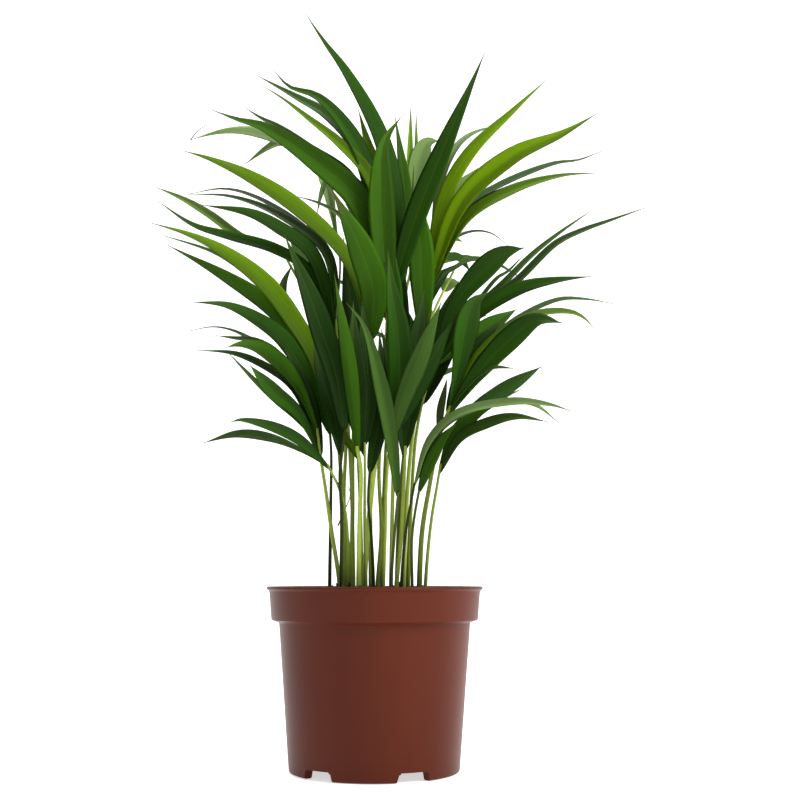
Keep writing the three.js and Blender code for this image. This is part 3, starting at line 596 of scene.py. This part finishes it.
def as_built(frond):
    """The frond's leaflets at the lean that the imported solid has: its blade's tip is a corner of the node."""
    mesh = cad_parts[frond["name"]].data
    corners = np.array([v.co for v in mesh.vertices]) / MM
    kept = []
    for leaflet in frond["leaflets"]:
        leans = [LEAN_STEP * k for k in range(-LEAN_STEPS, LEAN_STEPS + 1)]
        away = [np.linalg.norm(corners - leaflet["leaning"](lean)[-1], axis=1).min() for lean in leans]
        if min(away) < TIP_TOLERANCE:
            lean = leans[int(np.argmin(away))]
            kept.append({**leaflet, "curve": Curve(leaflet["leaning"](lean))})
    return {**frond, "leaflets": kept}


# ---- meshes with a tint and a place on the leaf at each corner ----
class Sheets:
    """Collects grids of points into one mesh, with a colour and a place on the leaf for each point."""

    def __init__(self):
        self.points, self.tints, self.places, self.faces = [], [], [], []

    def grid(self, rows, tints, places, closed):
        start = len(self.points)
        wide = len(rows[0])
        for row, tint_row, place_row in zip(rows, tints, places):
            self.points.extend(row)
            self.tints.extend(tint_row)
            self.places.extend(place_row)
        for i in range(len(rows) - 1):
            for k in range(wide if closed else wide - 1):
                a = start + i * wide + k
                b = start + i * wide + (k + 1) % wide
                self.faces.append((a, b, b + wide, a + wide))
        if closed:
            self.faces.append(tuple(start + k for k in reversed(range(wide))))
            self.faces.append(tuple(start + (len(rows) - 1) * wide + k for k in range(wide)))

    def object(self, name, material):
        mesh = bpy.data.meshes.new(name)
        places = np.clip(np.array(self.points) * MM, CAD_LOW, CAD_HIGH)
        mesh.from_pydata(places.tolist(), [], self.faces)
        tint = mesh.color_attributes.new("tint", "FLOAT_COLOR", "POINT")
        tint.data.foreach_set("color", np.array([[*t, 1] for t in self.tints], np.float32).ravel())
        layer = mesh.uv_layers.new(name="place")
        order = np.array([loop.vertex_index for loop in mesh.loops])
        layer.data.foreach_set("uv", np.array(self.places, np.float32)[order].ravel())
        mesh.shade_smooth()
        mesh.materials.append(material)
        piece = bpy.data.objects.new(name, mesh)
        bpy.context.scene.collection.objects.link(piece)
        return piece


def blade_width(leaflet, s):
    end = lerp(BLADE_ROOT_WIDTH, BLADE_TIP_WIDTH, s)
    bulge = math.sin(math.pi * s ** (math.log(0.5) / math.log(leaflet["belly"])))
    return end + (leaflet["width"] - end) * max(0.0, bulge) ** lerp(*BLADE_FULLNESS, s)


def blade(sheets, leaflet, seed):
    """One folded leaflet: a thin closed sheet with a raised middle, fine curl and a dry tip."""
    curve = leaflet["curve"]
    # The leaflet's tone: night is painted shade, lime is painted light through the leaf, and sage and dusk
    # carry a painted sheen.
    base = linear(TONES[leaflet["tone"]])
    base = base * lerp(0.85, 1.18, draw(seed))
    tip = linear(TIP_TONE)
    dry_from = leaflet["dry_from"]
    phase = 6.3 * draw(seed + 2)
    rows, tints, places = [], [], []
    for i in range(BLADE_ROWS + 1):
        s = i / BLADE_ROWS
        along = curve.way(s)
        side = turned(unit(np.cross(along, leaflet["facing"])), along, leaflet["turn"])
        face = np.cross(side, along)
        middle = curve.along(s)
        wide = blade_width(leaflet, s) * (1 - 0.5 * max(0, s - 0.94) / 0.06)
        fullness = math.sin(math.pi * min(1, 0.08 + s)) ** 0.4 if s < 0.92 else 0
        thick = LEAF_THICKNESS * (0.35 + 0.65 * fullness)
        wave = CURL * math.sin(phase + 7 * s) * math.sin(math.pi * s)
        ring, ring_tints, ring_places = [], [], []
        for front in (1, -1):
            columns = BLADE_COLUMNS if front > 0 else BLADE_COLUMNS[-2:0:-1]
            for u in columns:
                fold = BLADE_FOLD * wide * (1 - abs(u) ** 1.4)
                rib = RIB_HEIGHT * max(0, 1 - abs(u) / 0.07)
                half = front * thick / 2 * (1 if abs(u) < 1 else 0)
                ring.append(middle + side * (u * wide / 2) + face * (fold + rib + half + wave * abs(u) * u))
                # Painted light and shade: one half of the fold is lightened and the other darkened, as if the
                # halves caught different light.
                fold_light_and_shade = np.clip(u / 0.3, -1, 1) * FOLD_LIGHT_AND_SHADE[0 if math.cos(phase) > 0 else 1]
                colour = base * (1 + fold_light_and_shade) * lerp(0.85, 1.2, s)
                colour = lerp(colour, linear(TONES["sage"]), TIP_PALENESS * s**6)
                if abs(u) < 0.04:
                    colour = lerp(colour, linear(TONES["light"]), 0.3)
                if front < 0:
                    colour = lerp(colour, linear(TONES["dusk"]), 0.2)
                dry = max(0, (s - dry_from) / (1.02 - dry_from))
                dry += 0.25 * max(0, (abs(u) - 0.9) * 10) * max(0, s - 0.7)
                ring_tints.append(lerp(colour, tip, min(1, dry)))
                ring_places.append((u * wide / 2 / 20 + seed % 17, s * curve.length / 20))
        rows.append(ring)
        tints.append(ring_tints)
        places.append(ring_places)
    sheets.grid(rows, tints, places, True)


def thread(sheets, spots, depth, thickness):
    """A dry hair-thin thread through sighted points, tapering to its end."""
    curve = Curve([sighted(spot, depth) for spot in spots])
    rows = []
    for i in range(9):
        s = i / 8
        along = curve.way(s)
        side = unit(np.cross(along, [0, 1, 0]))
        face = np.cross(side, along)
        r = thickness / 2 * (1 - 0.7 * s)
        turns = [2 * math.pi * k / 6 for k in range(6)]
        rows.append([curve.along(s) + side * r * math.cos(a) + face * r * math.sin(a) for a in turns])
    sheets.grid(rows, [[linear(TIP_TONE)] * 6] * 9, [[(0.0, 0.0)] * 6] * 9, True)


def stalk_tube(sheets, stalk, seed):
    """The petiole: a ridged tube, thicker and darker where it leaves the soil."""
    curve = stalk["curve"]
    tone = linear(TONES[stalk["tone"]]) * lerp(0.85, 1.15, draw(seed))
    dark = linear(SHEATH_TONE)
    count = max(16, int(curve.length / 6))
    rows, tints, places = [], [], []
    for i in range(count + 1):
        s = i / count
        along = curve.way(s)
        side = unit(np.cross(along, [0, 1, 0]))
        face = np.cross(side, along)
        middle = curve.along(s)
        radius = lerp(*stalk["thick"], s) / 2
        ring, ring_tints, ring_places = [], [], []
        for k in range(STALK_AROUND):
            a = 2 * math.pi * k / STALK_AROUND
            groove = 0.93 if abs(a - math.pi * 1.5) < 0.3 else 1
            r = radius * (0.95 + 0.05 * math.cos(2 * a + seed)) * groove
            ring.append(middle + side * r * math.cos(a) + face * r * math.sin(a))
            height = middle[2] - SOIL_TOP
            colour = lerp(dark, tone, min(1, max(0, (height - 3) / 24)) ** 0.7)
            ring_tints.append(colour * (1 + 0.3 * math.cos(a + seed)))
            ring_places.append((k / STALK_AROUND * radius * 0.3 + seed % 13, s * curve.length / 20))
        rows.append(ring)
        tints.append(ring_tints)
        places.append(ring_places)
    sheets.grid(rows, tints, places, True)


def sheath(sheets, stalk, seed):
    """The split, drying sheath wrapped round the foot of a petiole."""
    curve = stalk["curve"]
    top = between(SHEATH_HEIGHT, seed + 5)
    dark, dry = linear(SHEATH_TONE), linear(TONES["bark"])
    start = (SOIL_TOP - 2 - STALK_FOOT) / curve.length
    reach = top / curve.length
    opening = 6.3 * draw(seed + 6)
    rows, tints, places = [], [], []
    for i in range(9):
        share = i / 8
        middle = curve.along(start + reach * share)
        along = curve.way(start + reach * share)
        side = unit(np.cross(along, [0, 1, 0]))
        face = np.cross(side, along)
        span = lerp(2.9, 0.5, share**2)
        inner_radius = stalk["thick"][0] / 2 + 0.05
        ring, ring_tints, ring_places = [], [], []
        flare = inner_radius + 0.15 * share
        for layer, radius in ((1, flare + 0.3), (-1, flare + 0.05)):
            for k in range(8):
                u = (2 * k / 7 - 1) * layer
                a = opening + span * u
                ring.append(middle + side * radius * math.cos(a) + face * radius * math.sin(a))
                ring_tints.append(lerp(dark, dry, 0.1 + 0.4 * share**2) * (1 + 0.15 * math.cos(5 * a)))
                ring_places.append((u * 0.4 + seed % 11, share * top / 20))
        rows.append(ring)
        tints.append(ring_tints)
        places.append(ring_places)
    sheets.grid(rows, tints, places, True)


# ---- materials ----
def material_of(name):
    """A new node material: its tree, its shader and a way to add a node."""
    material = bpy.data.materials.new(name)
    material.use_nodes = True
    tree = material.node_tree
    shader = tree.nodes["Principled BSDF"]

    def add(kind, **values):
        node = tree.nodes.new(kind)
        for key, value in values.items():
            if hasattr(node, key):
                setattr(node, key, value)
            else:
                node.inputs[key.replace("_", " ")].default_value = value
        return node

    return material, tree, shader, add


def leaf_material():
    material, tree, shader, add = material_of("palm_leaf")
    link = tree.links.new
    tint = add("ShaderNodeVertexColor", layer_name="tint")
    place = add("ShaderNodeUVMap", uv_map="place")
    ribs = add("ShaderNodeTexWave", wave_type="BANDS", bands_direction="X")
    ribs.inputs["Scale"].default_value = 9.0
    ribs.inputs["Distortion"].default_value = 0.4
    ribs.inputs["Detail"].default_value = 2.0
    cloud = add("ShaderNodeTexNoise")
    cloud.inputs["Scale"].default_value = 1.4
    cloud.inputs["Detail"].default_value = 4.0
    stretch = add("ShaderNodeMapping")
    stretch.inputs["Scale"].default_value = (6.0, 0.55, 1.0)
    link(place.outputs["UV"], stretch.inputs["Vector"])
    link(stretch.outputs["Vector"], cloud.inputs["Vector"])
    link(place.outputs["UV"], ribs.inputs["Vector"])
    light = add("ShaderNodeMapRange")
    light.inputs["To Min"].default_value = 0.78
    light.inputs["To Max"].default_value = 1.22
    link(cloud.outputs["Fac"], light.inputs["Value"])
    lined = add("ShaderNodeMapRange")
    lined.inputs["To Min"].default_value = 0.93
    lined.inputs["To Max"].default_value = 1.05
    link(ribs.outputs["Fac"], lined.inputs["Value"])
    both = add("ShaderNodeMath", operation="MULTIPLY")
    link(light.outputs["Result"], both.inputs[0])
    link(lined.outputs["Result"], both.inputs[1])
    scaled = add("ShaderNodeVectorMath", operation="SCALE")
    link(tint.outputs["Color"], scaled.inputs[0])
    link(both.outputs["Value"], scaled.inputs["Scale"])
    link(scaled.outputs["Vector"], shader.inputs["Base Color"])
    bump = add("ShaderNodeBump")
    bump.inputs["Strength"].default_value = 0.25
    bump.inputs["Distance"].default_value = 0.0002
    link(ribs.outputs["Fac"], bump.inputs["Height"])
    link(bump.outputs["Normal"], shader.inputs["Normal"])
    gloss = add("ShaderNodeMapRange")
    gloss.inputs["To Min"].default_value = 0.42
    gloss.inputs["To Max"].default_value = 0.6
    link(cloud.outputs["Fac"], gloss.inputs["Value"])
    link(gloss.outputs["Result"], shader.inputs["Roughness"])
    shader.inputs["Specular IOR Level"].default_value = 0.04
    return material


def plastic_material():
    material, tree, shader, add = material_of("pot_plastic")
    link = tree.links.new
    where = add("ShaderNodeTexCoord")
    flow = add("ShaderNodeMapping")
    flow.inputs["Scale"].default_value = (26.0, 26.0, 3.0)
    streak = add("ShaderNodeTexNoise")
    streak.inputs["Scale"].default_value = 1.0
    streak.inputs["Detail"].default_value = 3.0
    link(where.outputs["Object"], flow.inputs["Vector"])
    link(flow.outputs["Vector"], streak.inputs["Vector"])
    colour = add("ShaderNodeValToRGB")
    low, high = colour.color_ramp.elements
    low.position, high.position = 0.3, 0.75
    low.color = (*linear((66, 22, 7)), 1)
    high.color = (*linear((77, 28, 10)), 1)
    link(streak.outputs["Fac"], colour.inputs["Fac"])
    link(colour.outputs["Color"], shader.inputs["Base Color"])
    grain = add("ShaderNodeTexNoise")
    grain.inputs["Scale"].default_value = 900.0
    grain.inputs["Detail"].default_value = 2.0
    link(where.outputs["Object"], grain.inputs["Vector"])
    bump = add("ShaderNodeBump")
    bump.inputs["Strength"].default_value = 0.12
    bump.inputs["Distance"].default_value = 0.0001
    link(grain.outputs["Fac"], bump.inputs["Height"])
    link(bump.outputs["Normal"], shader.inputs["Normal"])
    rough = add("ShaderNodeMapRange")
    rough.inputs["To Min"].default_value = 0.34
    rough.inputs["To Max"].default_value = 0.46
    link(streak.outputs["Fac"], rough.inputs["Value"])
    link(rough.outputs["Result"], shader.inputs["Roughness"])
    shader.inputs["Specular IOR Level"].default_value = 0.1
    return material


def soil_material():
    material, tree, shader, add = material_of("potting_mix")
    link = tree.links.new
    where = add("ShaderNodeTexCoord")
    crumbs = add("ShaderNodeTexVoronoi")
    crumbs.inputs["Scale"].default_value = 520.0
    clumps = add("ShaderNodeTexNoise")
    clumps.inputs["Scale"].default_value = 140.0
    clumps.inputs["Detail"].default_value = 6.0
    link(where.outputs["Object"], crumbs.inputs["Vector"])
    link(where.outputs["Object"], clumps.inputs["Vector"])
    colour = add("ShaderNodeValToRGB")
    low, high = colour.color_ramp.elements
    low.position, high.position = 0.3, 0.72
    low.color = (*linear((34, 24, 17)), 1)
    high.color = (*linear((72, 52, 35)), 1)
    link(clumps.outputs["Fac"], colour.inputs["Fac"])
    link(colour.outputs["Color"], shader.inputs["Base Color"])
    bump = add("ShaderNodeBump")
    bump.inputs["Strength"].default_value = 0.9
    bump.inputs["Distance"].default_value = 0.0008
    link(crumbs.outputs["Distance"], bump.inputs["Height"])
    link(bump.outputs["Normal"], shader.inputs["Normal"])
    shader.inputs["Roughness"].default_value = 0.95
    return material


def floor_material():
    material, tree, shader, add = material_of("pale_floor")
    shader.inputs["Base Color"].default_value = (0.9, 0.9, 0.9, 1)
    shader.inputs["Roughness"].default_value = 0.9
    shader.inputs["Emission Color"].default_value = (1, 1, 1, 1)
    shader.inputs["Emission Strength"].default_value = 0.6
    return material


# ---- the pot ----
def arc(centre, radius, start, end, steps=5):
    """Points on a quarter round in the pot's profile, from one angle to another in degrees."""
    turns = [math.radians(lerp(start, end, i / steps)) for i in range(steps + 1)]
    return [(centre[0] + radius * math.cos(a), centre[1] + radius * math.sin(a)) for a in turns]


def revolve(profile, around=POT_AROUND):
    """A closed solid of revolution as a bmesh; the profile starts and ends on the axis."""
    made = bmesh.new()
    rings = []
    for r, z in profile:
        if r < 1e-6:
            rings.append([made.verts.new((0, 0, z * MM))])
            continue
        turns = [2 * math.pi * k / around for k in range(around)]
        rings.append([made.verts.new((r * math.cos(a) * MM, r * math.sin(a) * MM, z * MM)) for a in turns])
    for low, high in zip(rings, rings[1:]):
        for k in range(around):
            after = (k + 1) % around
            if len(low) == 1:
                made.faces.new((low[0], high[after], high[k]))
            elif len(high) == 1:
                made.faces.new((low[k], low[after], high[0]))
            else:
                made.faces.new((low[k], low[after], high[after], high[k]))
    return made


def object_of(made, name):
    mesh = bpy.data.meshes.new(name)
    made.to_mesh(mesh)
    made.free()
    piece = bpy.data.objects.new(name, mesh)
    bpy.context.scene.collection.objects.link(piece)
    return piece


def cut_from(piece, cutters):
    """Cuts the cutters out of the piece, keeps the result as its mesh, and removes them."""
    for cutter in cutters:
        cut = piece.modifiers.new("cut", "BOOLEAN")
        cut.operation, cut.solver, cut.object = "DIFFERENCE", "EXACT", cutter
    evaluated = piece.evaluated_get(bpy.context.evaluated_depsgraph_get())
    mesh = bpy.data.meshes.new_from_object(evaluated)
    piece.modifiers.clear()
    piece.data = mesh
    for cutter in cutters:
        bpy.data.objects.remove(cutter)


def foot_cutters():
    cutters = []
    inner = BASE_RADIUS - 2 * FOOT_DEPTH
    for degrees in NOTCH_TURNS:
        turn = math.radians(degrees - 90)
        made = bmesh.new()
        bmesh.ops.create_cube(made, size=1)
        for v in made.verts:
            radius = BASE_RADIUS + FOOT_DEPTH if v.co.x > 0 else inner
            angle = NOTCH_ANGLE_HIGH if v.co.z > 0 else NOTCH_ANGLE_LOW
            half = radius * math.tan(math.radians(angle / 2)) * (1 if v.co.y > 0 else -1)
            v.co = (radius * MM, half * MM, (FOOT_HEIGHT if v.co.z > 0 else -2) * MM)
        edges = [e for e in made.edges if all(v.co.z > 0 for v in e.verts)]
        bmesh.ops.bevel(made, geom=edges, offset=FOOT_ROUNDING * MM, segments=3, affect="EDGES")
        cutter = object_of(made, "foot_cutter")
        cutter.rotation_euler.z = turn
        hole = bmesh.new()
        round_hole = {"segments": 28, "radius1": DRAIN_RADIUS * MM, "radius2": DRAIN_RADIUS * MM}
        bmesh.ops.create_cone(hole, cap_ends=True, depth=12 * MM, **round_hole)
        drain = object_of(hole, "drain_cutter")
        way = Vector((math.cos(turn), math.sin(turn), 0))
        drain.location = (way * DRAIN_PLACE + Vector((0, 0, FOOT_HEIGHT))) * MM
        cutters += [cutter, drain]
    return cutters


def pot():
    inner_top = COLLAR_TOP_RADIUS - WALL
    recess = BASE_RADIUS - FOOT_DEPTH
    profile = [
        (0, 0),
        (PAD_RADIUS - 0.5, 0),
        (PAD_RADIUS, 0.5),
        (PAD_RADIUS, FOOT_HEIGHT - 0.6),
        (PAD_RADIUS + 0.6, FOOT_HEIGHT),
        (recess - 0.6, FOOT_HEIGHT),
        (recess, FOOT_HEIGHT - 0.6),
        (recess, 0.6),
        (recess + 0.6, 0),
        (BASE_RADIUS - 1.2, 0),
        *arc((BASE_RADIUS - 1.2, 1.2), 1.2, -80, 0, 3),
        (BODY_LOW_RADIUS, BODY_LOW),
        (lerp(BODY_LOW_RADIUS, BODY_TOP_RADIUS, 0.5), lerp(BODY_LOW, COLLAR_FOOT, 0.49)),
        (BODY_TOP_RADIUS - 0.08, COLLAR_FOOT - STEP_DROP - 1.2),
        (BODY_TOP_RADIUS + 0.1, COLLAR_FOOT - STEP_DROP - 0.3),
        (BODY_TOP_RADIUS + 0.6, COLLAR_FOOT - STEP_DROP + 0.15),
        (COLLAR_FOOT_RADIUS - 0.7, COLLAR_FOOT - 0.25),
        (COLLAR_FOOT_RADIUS - 0.12, COLLAR_FOOT + 0.1),
        (COLLAR_FOOT_RADIUS + 0.04, COLLAR_FOOT + 0.7),
        (COLLAR_TOP_RADIUS - 0.1, POT_HEIGHT - 3.4),
        (COLLAR_TOP_RADIUS + 0.15, POT_HEIGHT - 2.5),
        (COLLAR_TOP_RADIUS + 0.7, POT_HEIGHT - 2.1),
        *arc((RIM_RADIUS - 0.95, POT_HEIGHT - 0.95), 0.95, -40, 90, 8),
        *arc((inner_top + 0.9, POT_HEIGHT - 0.9), 0.9, 90, 180, 5),
        (inner_top, POT_HEIGHT - 4),
        (COLLAR_FOOT_RADIUS - WALL, COLLAR_FOOT + 0.4),
        (COLLAR_FOOT_RADIUS - WALL - 0.8, COLLAR_FOOT - 0.6),
        (BODY_TOP_RADIUS - WALL, COLLAR_FOOT - STEP_DROP - 0.6),
        (BODY_LOW_RADIUS - WALL, BODY_LOW),
        (BASE_RADIUS - WALL, FOOT_HEIGHT + WALL),
        (0, FOOT_HEIGHT + WALL),
    ]
    piece = object_of(revolve(profile), "pot_body")
    cut_from(piece, foot_cutters())
    piece.data.shade_smooth()
    piece.data.set_sharp_from_angle(angle=math.radians(32))
    piece.data.materials.append(plastic_material())
    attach(piece, "root")
    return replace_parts(piece, "pot")


# ---- the soil ----
def grain(x, y, seed=0):
    """Rough ground: a few crossed waves of falling size, from -1 to 1."""
    total = 0.0
    for k, (pitch, size) in enumerate(((9.1, 0.5), (4.3, 0.3), (2.1, 0.25), (1.2, 0.2))):
        a = 2.4 * k + seed
        total += size * math.sin((x * math.cos(a) + y * math.sin(a)) / pitch * 2) * math.cos(
            (y * math.cos(a) - x * math.sin(a)) / pitch * 1.7 + k
        )
    return total


def soil():
    inset = WALL + 0.3
    share = (SOIL_TOP - COLLAR_FOOT) / (POT_HEIGHT - 2 - COLLAR_FOOT)
    edge = lerp(COLLAR_FOOT_RADIUS, COLLAR_TOP_RADIUS, share) - inset
    rings = 46
    profile = [
        (0, FOOT_HEIGHT + inset),
        (BASE_RADIUS - inset, FOOT_HEIGHT + inset),
        (BODY_LOW_RADIUS - inset, BODY_LOW),
        (BODY_TOP_RADIUS - inset, COLLAR_FOOT - STEP_DROP),
        (COLLAR_FOOT_RADIUS - inset, COLLAR_FOOT),
        *((edge * (1 - i / rings), SOIL_TOP) for i in range(rings)),
        (0, SOIL_TOP),
    ]
    made = revolve(profile, 150)
    for v in made.verts:
        x, y, z = v.co / MM
        if z > SOIL_TOP - 0.01:
            v.co.z = (SOIL_TOP + SOIL_GRAIN * grain(x, y) - 0.4) * MM
    piece = object_of(made, "soil_bed")
    crumbs = bmesh.new()
    for i in range(CRUMBS):
        size = lerp(*CRUMB_SIZE, draw(700 + i) ** 3)
        away = (edge - 2) * math.sqrt(draw(2000 + i))
        a = 6.2832 * draw(3000 + i)
        x, y = away * math.cos(a), away * math.sin(a)
        before = len(crumbs.verts)
        bmesh.ops.create_icosphere(crumbs, subdivisions=1, radius=size * MM)
        crumbs.verts.ensure_lookup_table()
        height = SOIL_TOP + SOIL_GRAIN * grain(x, y) - 0.3
        for k, v in enumerate(crumbs.verts[before:]):
            v.co *= lerp(0.65, 1.25, draw(4000 + i * 12 + k))
            v.co += Vector((x, y, height)) * MM
    bits = object_of(crumbs, "soil_crumbs")
    material = soil_material()
    for thing in (piece, bits):
        thing.data.shade_smooth()
        thing.data.materials.append(material)
        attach(thing, "root")
    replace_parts(piece, "soil")


# ---- the plant ----
def plant():
    leaf = leaf_material()
    fronds = [sighted_frond(name, frond) for name, frond in FRONDS.items()]
    fronds += [back_frond(i) for i in range(BACK_FRONDS)]
    for n, frond in enumerate(fronds):
        built = as_built(frond)
        sheets = Sheets()
        stalk_tube(sheets, built["stalk"], 40 * n + 1)
        sheath(sheets, built["stalk"], 40 * n + 2)
        for i, leaflet in enumerate(built["leaflets"]):
            blade(sheets, leaflet, 40 * n + 5 + i)
        for spots, depth, thickness in THREADS.get(frond["name"], ()):
            thread(sheets, spots, depth, thickness)
        piece = sheets.object(frond["name"] + "_grown", leaf)
        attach(piece, "root")
        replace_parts(piece, frond["name"])


# ---- camera, floor and light ----
CAMERA_PITCH = 8.194
CAMERA_LENS = 55.9
# Each lamp's place and size in metres, and its power in watts.
LAMPS = {
    "key": ((1.0, -0.75, 1.0), 0.8, 30),
    "fill": ((-1.1, -0.2, 0.6), 0.8, 1.5),
    "top": ((-0.1, 0.3, 1.5), 1.0, 17),
}


def camera():
    data = bpy.data.cameras.new("camera")
    data.lens = CAMERA_LENS
    data.sensor_width = 36
    data.clip_end = 50
    made = bpy.data.objects.new("camera", data)
    made.location = Vector(EYE) * MM
    made.rotation_euler = (math.radians(90 + CAMERA_PITCH), 0, 0)
    bpy.context.scene.collection.objects.link(made)
    bpy.context.scene.camera = made


def backdrop():
    """A pale floor that sweeps up behind the object into a wall."""
    made = bmesh.new()
    wide, near, far, radius, top = 6.0, -4.0, 2.6, 1.2, 5.0
    line = [(near, 0.0), (far - radius, 0.0)]
    for i in range(1, 13):
        a = math.pi / 2 * i / 12
        line.append((far - radius + radius * math.sin(a), radius - radius * math.cos(a)))
    line.append((far, top))
    rows = [[made.verts.new((x, y, z - 0.0004)) for x in (-wide, wide)] for y, z in line]
    for low, high in zip(rows, rows[1:]):
        made.faces.new((low[0], low[1], high[1], high[0]))
    floor = object_of(made, "pale_floor")
    floor.data.shade_smooth()
    floor.data.materials.append(floor_material())


def area_light(name, place, target, size, power):
    data = bpy.data.lights.new(name, "AREA")
    data.shape = "DISK"
    data.size = size
    data.energy = power
    made = bpy.data.objects.new(name, data)
    made.location = place
    made.rotation_euler = (Vector(target) - Vector(place)).to_track_quat("-Z", "Y").to_euler()
    bpy.context.scene.collection.objects.link(made)


def lights():
    world = bpy.data.worlds.new("white_room")
    bpy.context.scene.world = world
    world.use_nodes = True
    background = world.node_tree.nodes["Background"]
    background.inputs["Color"].default_value = (1, 1, 1, 1)
    background.inputs["Strength"].default_value = 0.45
    middle = (0, 0, 0.22)
    for name, (place, size, power) in LAMPS.items():
        area_light(name, place, middle, size, power)


bpy.context.scene.view_settings.view_transform = "Standard"
camera()
backdrop()
lights()
pot()
soil()
plant()
